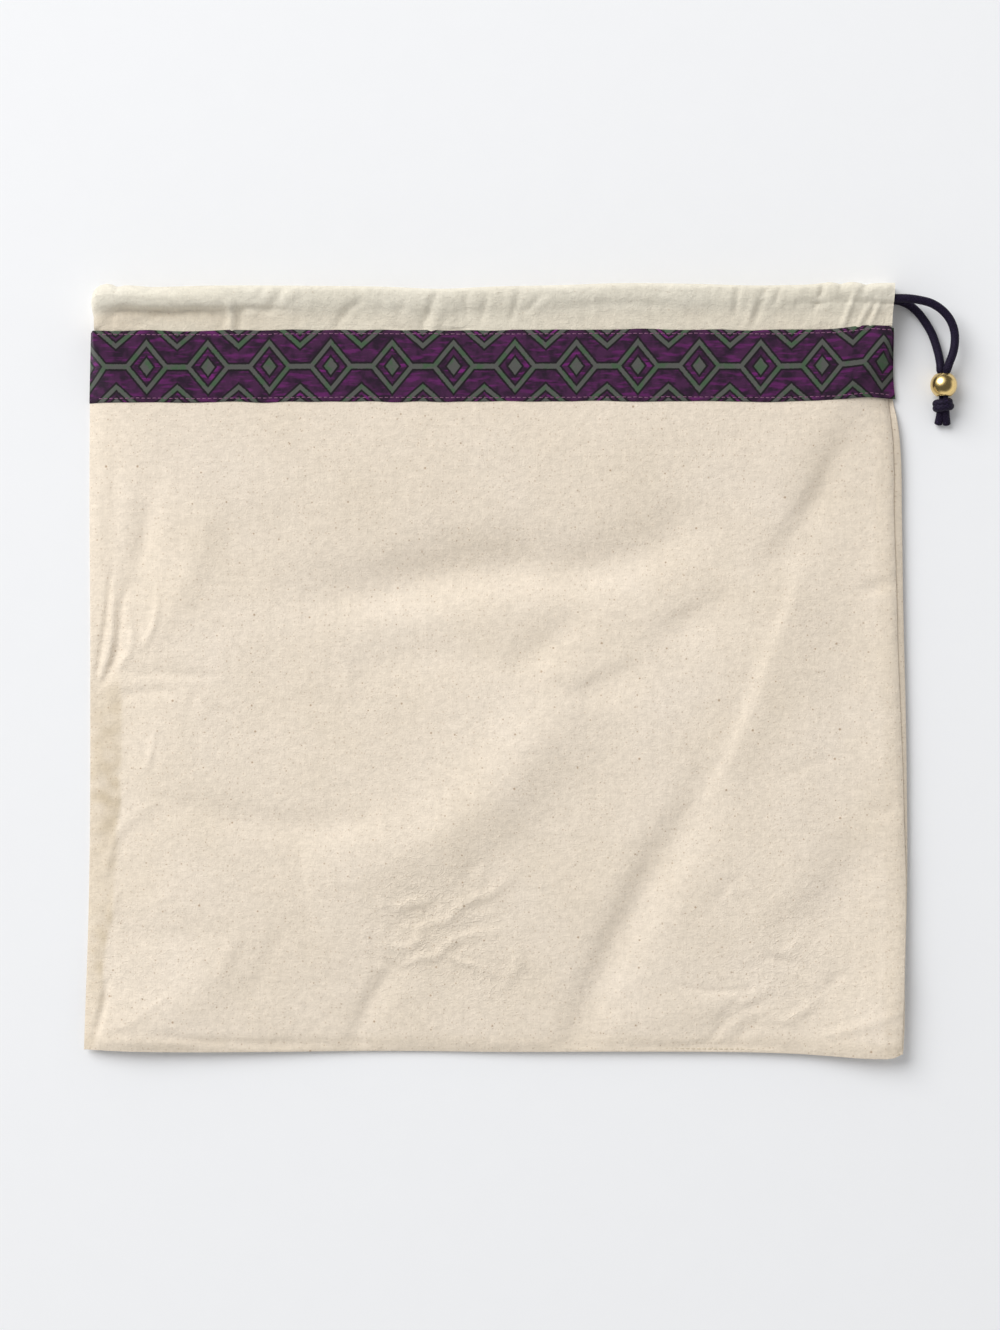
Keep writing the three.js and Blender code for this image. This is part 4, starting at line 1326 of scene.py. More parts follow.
class DUSTBAG_OT_cord_knot(bpy.types.Operator):
    """Overhand knot below the bead, and the two short cut tails under it"""

    bl_idname = "dustbag.cord_knot"
    bl_label = "Knot and tails"

    def execute(self, context):
        cord = in_mm("cord")
        angle = np.linspace(0, 2 * math.pi * KNOT_TURNS, KNOT_STEPS)
        share = angle / angle[-1]
        # Level at the back of the knot, falling from upper right to lower left across its front
        fall = share + KNOT_SLANT * np.sin(angle - KNOT_SLANT_TURN) / KNOT_TURNS
        closing = np.clip(share * KNOT_SPAN - KNOT_LEAD, 0, 1)
        reach = KNOT_WRAP * np.sin(math.pi * closing) ** KNOT_BLUNTNESS
        reach *= KNOT_TOP_WIDTH - KNOT_NARROWING * share
        start = KNOT_CENTRE + KNOT_START
        path = np.stack([
            start[0] - KNOT_LEAN * share + reach * np.cos(angle + KNOT_START_TURN),
            start[1] - KNOT_FALL * fall,
            start[2] + reach * np.sin(angle + KNOT_START_TURN),
        ], 1)
        knot = tube("knot", path, cord / 2 * (1.0 - KNOT_THINNING * share))
        dress(knot, braided(), ["drawcord_knot"])
        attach(knot, "cord_end")
        for name, hand in (("left", -1), ("right", 1)):
            low, high = node_box(f"drawcord_{name}_tail")
            x = (low[0] + high[0]) / 2
            stops = (
                (TAIL_TOP, high[1], KNOT_CENTRE[2]),
                (TAIL_MIDDLE, high[1], high[2] - cord / 2),
                (TAIL_TIP, low[1], cord / 2),
            )
            route = [
                (x - hand * inward, end + up, level + above + hand * apart)
                for (inward, up, above, apart), end, level in stops
            ]
            tail = tube(f"{name}_tail", even_path(route, CORD_STEP), cord / 2 * TAIL_FULLNESS)
            dress(tail, braided(), [f"drawcord_{name}_tail"])
            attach(tail, "cord_end")
        return {"FINISHED"}


class DUSTBAG_OT_cord_legs(bpy.types.Operator):
    """Two free legs of the cord, and the squeezed strands that carry them through the bead"""

    bl_idname = "dustbag.cord_legs"
    bl_label = "Cord legs"

    def execute(self, context):
        cord = in_mm("cord")
        bead_top = BEAD_CENTRE[1] + BEAD_HALF_LENGTH
        knot_top = BEAD_CENTRE[1] - BEAD_HALF_LENGTH
        legs = (
            ("upper", UPPER_LEG, CORD_HIGH[2] - cord / 2, LEG_APART),
            ("lower", LOWER_LEG, CORD_LOW[2] + cord / 2, -LEG_APART),
        )
        for name, turns, level, apart in legs:
            low, high = node_box(f"drawcord_{name}_strand")
            centre = (low + high) / 2
            squeezed = high[0] - low[0]

            def over_bore(y, aside=0.0, centre=centre):
                return np.array([centre[0] + aside, y, centre[2]])

            ends = [over_bore(bead_top - STRAND_IN_BEAD), over_bore(knot_top - STRAND_IN_KNOT)]
            strand = tube(f"{name}_strand", even_path(ends, CORD_STEP), squeezed / 2)
            dress(strand, braided(), [f"drawcord_{name}_strand"])
            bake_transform(strand)
            leave = EXIT + (0, 0, level)
            route = [leave, leave + (LEG_LEAD, 0, 0), *(EXIT + np.array(point) for point in turns)]
            route += [over_bore(bead_top + LEG_ABOVE_BEAD, apart), over_bore(bead_top - LEG_IN_BEAD)]
            path = even_path(route, CORD_STEP)
            to_bead = path_length(path) * (1 - np.linspace(0, 1, len(path)))
            pinch = squeezed / 2 + (cord * LEG_FULLNESS - squeezed) / 2 * ramp(*LEG_PINCH, to_bead)
            leg = tube(f"{name}_leg", path, pinch)
            dress(leg, braided(), [f"drawcord_{name}_leg"])
            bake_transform(leg)
        return {"FINISHED"}


class DUSTBAG_OT_cord_in_casing(bpy.types.Operator):
    """The cord's long run through the casing: along the front, round the left end and back"""

    bl_idname = "dustbag.cord_in_casing"
    bl_label = "Cord in the casing"

    def execute(self, context):
        turn = np.linspace(0, math.pi, LONG_CORD_TURN_STEPS)
        bend = np.stack([
            FOLD_X - CORD_TURN * np.sin(turn),
            CORD_Y - casing_slip(np.full_like(turn, FOLD_X), (1 - np.cos(turn)) / 2),
            MOUTH_MIDDLE + CORD_TURN * np.cos(turn),
        ], 1)
        run = np.linspace(MOUTH_RIGHT, FOLD_X, LONG_CORD_STEPS, endpoint=False)
        front = np.stack([run, np.full_like(run, CORD_Y), np.full_like(run, bend[0, 2])], 1)
        back_run = run[::-1]
        back = np.stack([back_run, CORD_Y - casing_slip(back_run, 1.0), np.full_like(run, bend[-1, 2])], 1)
        path = np.concatenate([front, bend, back])
        cord = tube("cord_in_casing", path, in_mm("cord") / 2, sides=LONG_CORD_SIDES)
        dress(cord, braided(), ["drawcord_in_casing"])
        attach(cord, "drawcord")
        return {"FINISHED"}


# Cloth

FRONT_ACROSS = stations([(2.4, 0.4), (40, 1.3), (94, 2.4), (76, 0.95), (92, 3.0), (92, 1.6), (2.4, 0.4)])
FRONT_UP = stations([(2.4, 0.4), (36, 1.5), (58, 0.92), (66, 2.6), (60, 1.8), (128, 3.2)])


BACK_ACROSS = stations([(2.4, 0.4), (396, 2.64)])
BACK_UP = stations([(2.4, 0.4), (318, 2.5), (34, 2.0)])
# Each piece shows another stretch of the weave
BACK_WEAVE = 500
CASING_WEAVE = 700
ALLOWANCE_WEAVE = -900
HEAD_TUCK = 0.9
EDGE_THINNED = (0, 2.2)
UNDER_LAYER = 0.8
# The left seam allowance where it shows through: edges, strength, and where it starts and fades
STRIP_WANDER = 0.8
STRIP_BLUR = 1.5
STRIP_OUTER = 0.55
STRIP_INNER_GAIN = 0.45
STRIP_STARTS = (4, -18)
STRIP_STRENGTH = 0.95
STRIP_LEAST = 0.05
STRIP_FADE = 0.35
STRIP_FADES = (-110, -150)
STRIP_EVEN = 0.8
STRIP_UNEVEN = 0.2
# Painted shade along the front's bottom and right edges: strength, and distance from the edge over which
# it fades
BOTTOM_PAINTED_SHADE = 0.24
BOTTOM_PAINTED_SHADE_TO = (5, 10)
RIGHT_PAINTED_SHADE = 0.22
RIGHT_PAINTED_SHADE_TO = (6, 12)
# The right margin, rolled up from the back
ROLL_COLUMNS = 22
ROLL_WIDTH = 2.4
ROLL_BULGE = 6
ROLL_RISE = 0.45
ROLL_FLAT = 7
# Where that painted shade grows in along the roll
ROLL_SHADE_FROM = (0, 0.4)
DITCH_OVERLAP = 0.05
SEWN_GAP = 0.02
ROLLED_GAP = 0.04


def panel_rows(s, t):
    """Heights up the bag of points of a face, and of its bottom edge under them."""
    low = smooth_line(BOTTOM_EDGE, PANEL_LOW[0] + (PANEL_HIGH[0] - PANEL_LOW[0]) * s)
    return low + (RIBBON_HEAD - HEAD_TUCK - low) * t, low


def raw_cloth():
    return shared_material("Unbleached cotton", face_cotton)


class DUSTBAG_OT_front_cloth(bpy.types.Operator):
    """Front face with its folds, puckers and rolled seam edges"""

    bl_idname = "dustbag.front_cloth"
    bl_label = "Front cloth"

    def execute(self, context):
        kept = {}

        def place(s, t):
            s = at_stations(FRONT_ACROSS, s)
            y, low = panel_rows(s, at_stations(FRONT_UP, t))
            left = smooth_line(LEFT_EDGE, y)
            right = smooth_line(RIGHT_DITCH, y)
            x = left + (right - left) * s
            kept["edges"] = (x - left, right - x, y - low)
            kept["xy"] = (x, y)
            z = front_height(x, y, kept["edges"])
            return np.stack([x, drift(x, y), z], 1), np.stack([x, y], 1)

        cloth = grid_piece("front_cloth", len(FRONT_ACROSS) - 1, len(FRONT_UP) - 1, place)
        to_left, to_right, to_bottom = kept["edges"]
        x, y = kept["xy"]
        # The turned-in allowance shows through as a yellower strip with a wandering inner edge
        width = smooth_line(STRIP_WIDTH, y) + STRIP_WANDER * rumple(x, y, size=24, seed=31)
        strip = 1 - ramp(width - STRIP_BLUR, width + STRIP_BLUR, to_left)
        strip *= STRIP_OUTER + STRIP_INNER_GAIN * np.clip(to_left / width, 0, 1)
        fading = STRIP_STRENGTH - STRIP_FADE * ramp(*STRIP_FADES, y)
        lower = ramp(*STRIP_STARTS, y) * fading + STRIP_LEAST
        # Painted shade darkens the cloth along its bottom and right edges, on the same mark as the doubled
        # strip
        foot = BOTTOM_PAINTED_SHADE * (1 - ramp(*BOTTOM_PAINTED_SHADE_TO, to_bottom))
        right = RIGHT_PAINTED_SHADE * (1 - ramp(*RIGHT_PAINTED_SHADE_TO, to_right))
        doubled_and_shaded = np.clip(strip * lower + foot + right, 0, 1)
        doubled_and_shaded *= STRIP_EVEN + STRIP_UNEVEN * rumple(x, y, size=12, seed=32)
        mark_points(cloth, "doubled_and_shaded", np.clip(doubled_and_shaded, 0, 1))
        creased = np.full_like(x, CREASED_ALL_OVER)
        for middle_x, middle_y, reach, amount in CREASED_PATCHES:
            creased += amount * np.exp(-((x - middle_x) ** 2 + (y - middle_y) ** 2) / reach ** 2)
        mark_points(cloth, "creased", creased)
        edge = np.minimum(to_left, to_bottom)
        thicken(cloth, in_mm("cloth"), ramp(*EDGE_THINNED, edge))
        dress(cloth, raw_cloth(), ["front_panel"])
        gather(cloth)
        return {"FINISHED"}


class DUSTBAG_OT_back_cloth(bpy.types.Operator):
    """Back face on the table, with its right margin rolled up to the seam on the front"""

    bl_idname = "dustbag.back_cloth"
    bl_label = "Back cloth"

    def execute(self, context):
        flat_columns = len(BACK_ACROSS) - 1
        columns = flat_columns + ROLL_COLUMNS
        flat_share = flat_columns / columns
        kept = {}

        def place(s, t):
            flat = at_stations(BACK_ACROSS, np.clip(s / flat_share, 0, 1))
            rolled = np.clip((s - flat_share) / (1 - flat_share), 0, 1)
            y, low = panel_rows(flat, at_stations(BACK_UP, t))
            left = smooth_line(LEFT_EDGE, y)
            outer = smooth_line(RIGHT_EDGE, y)
            ditch = smooth_line(RIGHT_DITCH, y) + DITCH_OVERLAP
            start = outer - ROLL_WIDTH
            x = left + (start - left) * flat
            under = seam_floor(x, y)
            z = under.copy()
            for gap in (x - left, y - low):
                k = np.clip(1 - gap / SEAM_ROLL, 0, 1)
                z += (SEAM_MIDDLE - ROLLED_GAP) * (1 - np.sqrt(1 - k * k))
            # Round the edge and up to the ditch of the seam, on a curve between four points
            sewn_top = SEAM_TOP + right_pad(x, y) - DITCH_DEPTH
            sewn = under + SEAM_MIDDLE + (sewn_top - SEAM_MIDDLE) * margin_share(y) - SEWN_GAP
            beyond = outer + (ROLL_WIDTH + outer - ditch) / ROLL_BULGE
            rest = 1 - rolled
            first = rest ** 3
            second = 3 * rolled * rest ** 2
            third = 3 * rolled ** 2 * rest
            last = rolled ** 3
            x = np.where(rolled > 0, first * start + (second + third) * beyond + last * ditch, x)
            rising = (first + second) * z + third * (z + ROLL_RISE * (sewn - z)) + last * sewn
            z = np.where(rolled > 0, np.maximum(rising, z), z)
            # Painted shade on the rolled margin, on the same mark as doubled cloth
            kept["doubled_and_shaded"] = ROLL_PAINTED_SHADE * ramp(*ROLL_SHADE_FROM, rolled)
            flat_x = left + (outer - left) * flat + rolled * ROLL_FLAT
            return np.stack([x, drift(x, y), z], 1), np.stack([flat_x + BACK_WEAVE, y], 1)

        cloth = grid_piece("back_cloth", columns, len(BACK_UP) - 1, place)
        mark_points(cloth, "doubled_and_shaded", kept["doubled_and_shaded"])
        turn_faces(cloth)
        thicken(cloth, in_mm("cloth") * UNDER_LAYER)
        dress(cloth, raw_cloth(), ["back_panel"])
        gather(cloth)
        return {"FINISHED"}


# Section of the casing: its two walls, from the hem to the turn at the top
CASING_STEPS = (0.78, 0.6, 3.2)
CASING_SECTIONS = 9
WALL_STEPS = 25
INNER_WALL_EVERY = 3
TOP_TURN_STEPS = 20
HEM_TUCK = 1.0
FRONT_FOOT_OUT = 2.0
FRONT_FOOT_IN = 0.9
BACK_FOOT_IN = 1.1
WALL_SLOPE = 0.12
WALL_SLOPE_RUN = 9
OUTER_SWELL = (0.32, 1.02)
INNER_SWELL = (0.12, 0.42)
LEFT_END_SWELL = (0.12, 0.3)
# Where the casing's forms start and are full: round the section, up from the hem, along the bag
OUTSIDE_ENDS = (0.46, 0.56)
PUCKERS_FROM = (-1.5, 2.5)
BULGE_FROM = (9, 15)
SCALLOPS_FROM = (12, 21)
STEP_FROM = (0.40, 0.57)
STEP_EASES = (0.75, 1.0)
STEP_EASE = 0.5
STEP_OUTSIDE_ENDS = (0.40, 0.52)
HEM_SHADE_ENDS = (5, 14)
PUCKERS_AFTER_TURN = 400
BACK_SMOOTHNESS = 0.7
RUMPLE_STRETCH = 0.6
CASING_CREASED = 0.4
HEM_LIFT = 2.0
HEM_LIFT_FROM = 189
OPEN_END_DRAWN = 1.5
OPEN_END_SLANT = 1.1
OPEN_END_FROM = 178
LEFT_END_REACH = 0.9
LEFT_END_FROM = (-150, -194)
LEAST_OUT = 0.02
LEAST_GAP = 0.1


def casing_section(to_back):
    """Closed outline of the casing's section, (up from the hem, out from the mouth), at even steps."""
    half = CASING_THICKNESS / 2
    rise = 1 - to_back
    steps = np.linspace(0, 1, WALL_STEPS)
    inner_steps = steps[::INNER_WALL_EVERY]
    arc = np.linspace(-math.pi / 2, math.pi / 2, TOP_TURN_STEPS)[1:-1]
    shoulder = CASING_DEPTH - half - CASING_TOP_TURN
    foot_out = FRONT_FOOT_OUT * rise + CASING_THICKNESS * to_back
    foot_in = FRONT_FOOT_IN * rise + (CASING_THICKNESS - BACK_FOOT_IN) * to_back
    climb = WALL_SLOPE * steps * WALL_SLOPE_RUN * rise
    swell = ramp(*OUTER_SWELL, steps)
    # The turn at the left end stands up straight from just above the ribbon
    end_wall = 4 * to_back * rise
    swell += (ramp(*LEFT_END_SWELL, steps) - swell) * end_wall
    out_line = foot_out + climb * (1 - swell) + (CASING_THICKNESS - foot_out) * swell
    in_line = foot_in * (1 - ramp(*INNER_SWELL, inner_steps))
    outward = np.stack([shoulder * steps - HEM_TUCK * (1 - steps), out_line], 1)
    pressed = np.abs(np.sin(arc)) ** CASING_TOP_PRESS
    top = shoulder + half * np.cos(arc) ** CASING_TOP_PRESS
    round_top = np.stack([top, half - half * np.sign(arc) * pressed], 1)
    inward = np.stack([shoulder * inner_steps - HEM_TUCK * (1 - inner_steps), in_line], 1)[::-1]
    return np.concatenate([outward, round_top, inward, outward[:1]])


def casing_slip(x, to_back):
    """How far the casing lies below its own height: nothing on the front and at the open end."""
    return CASING_SLIP * to_back * (1 - ramp(*SLIP_ENDS, x))


def pucker_height(x, up):
    """Puckers, the crease under the cord and small rumples of the casing's outside."""
    height = np.zeros_like(x)
    for route, amount, left, right in CASING_FOLDS:
        height += CASING_FOLD_SCALE * fold_height(x, up, route, amount, left, right)
    for seed, (size, amount) in enumerate(CASING_RUMPLES):
        height += amount * rumple(x, RUMPLE_STRETCH * up, size, 40 + seed)
    return height


class DUSTBAG_OT_casing(bpy.types.Operator):
    """Hem folded round the cord, from the front's open end round the left side to the back's open end"""

    bl_idname = "dustbag.casing"
    bl_label = "Casing"

    def execute(self, context):
        run = MOUTH_RIGHT - FOLD_X
        bend = math.pi * CORD_TURN
        total = 2 * run + bend
        along_run = stations(list(zip((run, bend, run), CASING_STEPS)))
        sections = np.linspace(0, 1, CASING_SECTIONS)
        outlines = np.stack([casing_section(share) for share in sections])
        around = running_length(outlines[0])[-1]
        count = outlines.shape[1] - 1
        kept = {}

        def place(s, t):
            along = at_stations(along_run, s) * total
            turn = math.pi * np.clip((along - run) / bend, 0, 1)
            x = np.where(along < run, MOUTH_RIGHT - along, FOLD_X + np.maximum(along - run - bend, 0))
            to_back = (1 - np.cos(turn)) / 2
            row = np.clip(to_back * (len(sections) - 1), 0, len(sections) - 1.001)
            low = row.astype(int)
            part = (row - low)[:, None]
            k = np.round(t * count).astype(int)
            point = outlines[low, k] * (1 - part) + outlines[low + 1, k] * part
            tangent = outlines[low, (k + 1) % count] - outlines[low, (k - 1) % count]
            normal = np.stack([-tangent[:, 1], tangent[:, 0]], 1)
            normal /= np.linalg.norm(normal, axis=1)[:, None]
            outside = 1 - ramp(*OUTSIDE_ENDS, t)
            on_front = 1 - to_back
            place_across = np.where(along < run, x, PUCKERS_AFTER_TURN + along)
            height = point[:, 0]
            share_up = height / CASING_DEPTH
            push = pucker_height(place_across, height) * outside * (1 - BACK_SMOOTHNESS * to_back)
            push *= ramp(*PUCKERS_FROM, height)
            push += CASING_BULGE * outside * on_front * ramp(*BULGE_FROM, height)
            hem_lift = HEM_LIFT * ramp(HEM_LIFT_FROM, MOUTH_RIGHT, x) * (1 - share_up)
            scallop = smooth_line(TOP_SCALLOPS, x) * ramp(*SCALLOPS_FROM, height) * on_front
            up = height + push * normal[:, 0] + hem_lift + scallop
            kept["up"] = height
            kept["across"] = x
            kept["outside"] = outside
            steeper = ramp(*STEP_FROM, share_up) * (1 - STEP_EASE * ramp(*STEP_EASES, share_up))
            steeper *= 1 - ramp(*STEP_OUTSIDE_ENDS, t)
            stepped = TUNNEL_RISE * steeper * np.clip(smooth_line(TUNNEL_STEP, x), 0, 1) * on_front
            out = np.maximum(point[:, 1] + push * normal[:, 1] + stepped, LEAST_OUT)
            # The cloth lies over the cord, not in it, wherever the cord comes when it is drawn through
            slip = casing_slip(x, to_back)
            lying = CASING_FOOT + up + smooth_line(CASING_DRIFT, x) - slip
            over_y = lying - np.clip(lying, CORD_Y - CASING_SLIP * to_back, CORD_Y - slip)
            over_z = out - CASING_THICKNESS / 2
            gap = np.maximum(np.hypot(over_y, over_z), LEAST_GAP)
            away = np.where(gap < CORD_CLEARANCE, CORD_CLEARANCE / gap, 1.0) - 1
            up = up + outside * away * over_y
            out = out + outside * away * over_z
            radius = MOUTH_HALF_GAP + out
            sideways = np.sin(turn) ** FOLD_SQUARENESS
            rise = np.sign(np.cos(turn)) * np.abs(np.cos(turn)) ** FOLD_SQUARENESS
            points = np.stack([
                x - sideways * radius,
                CASING_FOOT + up - slip,
                np.maximum(MOUTH_MIDDLE + rise * radius, in_mm("cloth")),
            ], 1)
            points[:, 0] -= LEFT_END_REACH * ramp(*LEFT_END_FROM, points[:, 0])
            slanted = OPEN_END_DRAWN - OPEN_END_SLANT * height / CASING_DEPTH
            points[:, 0] -= slanted * ramp(OPEN_END_FROM, MOUTH_RIGHT, x)
            points[:, 1] += smooth_line(CASING_DRIFT, points[:, 0])
            return points, np.stack([along, t * around + CASING_WEAVE], 1)

        casing = grid_piece("casing", len(along_run) - 1, count, place)
        # Doubled hem and painted shade: the lower half of the casing's outside takes the darker, warmer
        # tint
        doubled_and_shaded = smooth_line(CASING_HEM_AND_SHADE, kept["across"]) * (1 - ramp(*HEM_SHADE_ENDS, kept["up"]))
        doubled_and_shaded *= kept["outside"]
        mark_points(casing, "doubled_and_shaded", doubled_and_shaded)
        mark_points(casing, "creased", np.full_like(doubled_and_shaded, CASING_CREASED))
        close_tube(casing, closed=False)
        thicken(casing, in_mm("cloth") * UNDER_LAYER)
        nodes = ["front_casing", "casing_left_fold", "back_casing"]
        dress(casing, shared_material("Casing cotton", casing_cotton), nodes)
        gather(casing)
        return {"FINISHED"}


RIBBON_ACROSS = stations([(3, 0.4), (386, 1.3), (9, 0.4)])
RIBBON_UP = stations([(1.5, 0.3), (32, 0.9), (1.5, 0.3)])
# How far each ribbon reaches past the left and the right edge, and how much its right end flares
FRONT_REACH = (0.2, 0.8, 0.4)
BACK_REACH = (-0.4, -0.8, 0.0)
RIBBON_SEAT = 0.12
RIBBON_EDGE_DROP = 0.3
RIBBON_EDGE_ROUND = (0, 0.8)
RIBBON_EDGE_WAVE = 0.25
RIBBON_WAVE_ENDS = (0, 12)
RIBBON_LEFT_SEAT = 0.25
BACK_END_LIFT = 0.4
BACK_END_LIFTED = (0, 2)


def ribbon_height(x, y):
    """Top of the front cloth under the ribbon."""
    left = smooth_line(LEFT_EDGE, y)
    right = smooth_line(RIGHT_EDGE, y)
    return front_height(x, y, (x - left, right - x, y - BOTTOM))


class DUSTBAG_OT_ribbons(bpy.types.Operator):
    """Ribbon bands sewn over the join of face and casing, one on the front and one on the back"""

    bl_idname = "dustbag.ribbons"
    bl_label = "Ribbons"

    def execute(self, context):
        thickness = in_mm("ribbon")

        def woven_place(x, y):
            return np.stack([x - PANEL_LOW[0], y - RIBBON_FOOT], 1)

        def spread(s, t, reach):
            past_left, past_right, flare = reach
            y = RIBBON_FOOT + (RIBBON_HEAD - RIBBON_FOOT) * t
            left = smooth_line(LEFT_EDGE, y) - past_left
            right = smooth_line(RIGHT_EDGE, y) + past_right + flare * (1 - t)
            return left + (right - left) * at_stations(RIBBON_ACROSS, s), y, left, right

        def place_front(s, t):
            t = at_stations(RIBBON_UP, t)
            x, y, left, right = spread(s, t, FRONT_REACH)
            selvedge = np.minimum(y - RIBBON_FOOT, RIBBON_HEAD - y)
            round_edge = RIBBON_EDGE_DROP * (1 - ramp(*RIBBON_EDGE_ROUND, selvedge))
            seat_x = np.clip(x, left + RIBBON_LEFT_SEAT, smooth_line(RIGHT_EDGE, y))
            z = ribbon_height(seat_x, y) + RIBBON_SEAT + thickness - round_edge
            wavy = RIBBON_EDGE_WAVE * rumple(x, y, size=30, seed=51)
            wavy = wavy * (1 - ramp(*RIBBON_WAVE_ENDS, selvedge)) + RIBBON_STRETCH * t
            return np.stack([x, drift(x, y) + wavy, z], 1), woven_place(x, y)

        def place_back(s, t):
            x, y, left, right = spread(s, at_stations(RIBBON_UP, t), BACK_REACH)
            edge = np.minimum(x - left, right - x)
            z = BACK_RIBBON_UNDERSIDE + BACK_END_LIFT * (1 - ramp(*BACK_END_LIFTED, edge))
            return np.stack([x, drift(x, y), z], 1), woven_place(x, y)

        bands = (("front_ribbon", place_front, "front_cloth"), ("back_ribbon", place_back, "floor"))
        for node, place, rests in bands:
            band = grid_piece(f"{node}_band", len(RIBBON_ACROSS) - 1, len(RIBBON_UP) - 1, place)
            if place is place_back:
                turn_faces(band)
            thicken(band, thickness)
            dress(band, shared_material("Woven ribbon", ribbon_material), [node])
            gather(band)
        return {"FINISHED"}


STITCH_SIDES = 6
STITCH_END_FACE = 0.9
STITCH_END_INSET = 0.45
STITCH_END_LENGTH = 0.5
STITCH_DIP_CURVE = 2.5
TOPSTITCH_RUN = (-193.5, 193.0)
TOPSTITCH_JITTER = 0.09
TOPSTITCH_SEED = 7
TOPSTITCH_SINK = 0.2
TOPSTITCH_LIFT = 0.02
BACK_TOPSTITCH_DROP = 0.12
SEAM_STITCH_SINK = 0.05
# Distances inside the left and bottom edges and the right ditch
ALLOWANCE_INSET = 1.9
ALLOWANCE_RIGHT_INSET = 1.2
SEAM_STITCH_INSET = 1.4
SEAM_STITCH_RIGHT_INSET = 0.7
# Turned-in allowances: flat width, widths that show, cut edge, ends and layers
SIDE_ALLOWANCE = 10.6
BOTTOM_ALLOWANCE = 9.6
CUT_EDGE_WAVE = 0.35
CUT_EDGE_TURNS = 2.1
ALLOWANCE_END = 1.5
ALLOWANCE_HEIGHT = 1.5
ALLOWANCE_RUMPLE = 0.06
ALLOWANCE_COVER = 1.15
ALLOWANCE_THICKNESS = 1.2
ALLOWANCE_GRID = (300, 10)


def stitch_row(name, places, seat, sink):
    """Row of like stitches: one is modelled, then copied along places and laid on its seat."""
    clear_selection()
    radius = sizes().thread / 2
    length = sizes().stitch_length
    bpy.ops.mesh.primitive_cylinder_add(
        vertices=STITCH_SIDES, radius=radius, depth=length, end_fill_type="NGON"
    )
    stitch = named(bpy.context.object, name)
    bpy.ops.object.mode_set(mode="EDIT")
    bpy.ops.mesh.select_all(action="SELECT")
    bpy.ops.transform.rotate(value=math.pi / 2, orient_axis="Y", center_override=(0, 0, 0))
    bpy.ops.mesh.select_all(action="DESELECT")
    bpy.ops.object.mode_set(mode="OBJECT")
    for face in stitch.data.polygons:
        face.select = abs(face.normal.x) > STITCH_END_FACE
    bpy.ops.object.mode_set(mode="EDIT")
    bpy.ops.mesh.inset(
        thickness=radius * STITCH_END_INSET, depth=radius * STITCH_END_LENGTH, use_individual=True
    )
    bpy.ops.mesh.select_all(action="SELECT")
    bpy.ops.mesh.subdivide(number_cuts=1)
    bpy.ops.mesh.normals_make_consistent(inside=False)
    bpy.ops.object.mode_set(mode="OBJECT")
    per_stitch = len(stitch.data.vertices)
    array = stitch.modifiers.new("row", "ARRAY")
    array.count = len(places)
    array.use_relative_offset = False
    array.use_constant_offset = True
    array.constant_offset_displace = (sizes().stitch_pitch, 0, 0)
    apply_all(stitch)
    local = read_points(stitch.data) / MM
    order = np.arange(len(local)) // per_stitch
    local[:, 0] -= order * in_mm("stitch_pitch")
    ahead, side, base = seat(np.array(places)[order], local)
    # Each stitch dips into the cloth at both ends
    half = in_mm("stitch_length") / 2
    dip = sink * (np.abs(local[:, 0]) / half) ** STITCH_DIP_CURVE
    write_points(stitch.data, np.stack([ahead, side, base + local[:, 2] - dip], 1) * MM)
    bpy.ops.object.shade_smooth()
    return stitch


class DUSTBAG_OT_topstitching(bpy.types.Operator):
    """Rows of topstitching along both edges of each ribbon"""

    bl_idname = "dustbag.topstitching"
    bl_label = "Topstitching"

    def execute(self, context):
        pitch = in_mm("stitch_pitch")
        places = np.arange(*TOPSTITCH_RUN, pitch)
        inset = in_mm("stitch_inset")
        lift = RIBBON_SEAT + in_mm("ribbon")
        rows = (("lower", RIBBON_FOOT + inset, 0), ("upper", RIBBON_HEAD - inset, RIBBON_STRETCH))
        random = np.random.default_rng(TOPSTITCH_SEED)
        for row, level, stretch in rows:
            jitter = random.normal(0, TOPSTITCH_JITTER, len(places))

            def sewn(x, local, level=level, jitter=jitter):
                at = np.rint((x - places[0]) / pitch).astype(int)
                return x + local[:, 0], level + jitter[at] + local[:, 1]

            def on_front(x, local, level=level, stretch=stretch, sewn=sewn):
                ahead, y = sewn(x, local)
                base = ribbon_height(ahead, np.full_like(ahead, level)) + lift + TOPSTITCH_LIFT
                return ahead, drift(ahead, y + stretch), base

            def on_back(x, local, sewn=sewn):
                ahead, y = sewn(x, local)
                base = np.full_like(ahead, BACK_RIBBON_UNDERSIDE - BACK_TOPSTITCH_DROP)
                return ahead, drift(ahead, y), base

            sides = (("front", on_front, TOPSTITCH_SINK), ("back", on_back, -TOPSTITCH_SINK))
            for side, seat, sink in sides:
                stitches = stitch_row(f"{side}_{row}_stitches", places, seat, sink)
                thread = shared_material("Topstitch thread", topstitch_thread)
                dress(stitches, thread, [f"{side}_ribbon_{row}_stitching"])
                gather(stitches)
        return {"FINISHED"}


def side_seam(hand, y, left_inset, right_inset):
    """Line just inside the left or the right seam."""
    if hand < 0:
        return smooth_line(LEFT_EDGE, y) + left_inset
    return smooth_line(RIGHT_DITCH, y) - right_inset


def cut_edge(along, width):
    """Width of an allowance up to its uneven cut edge."""
    return width + CUT_EDGE_WAVE * np.sin(along * CUT_EDGE_TURNS)


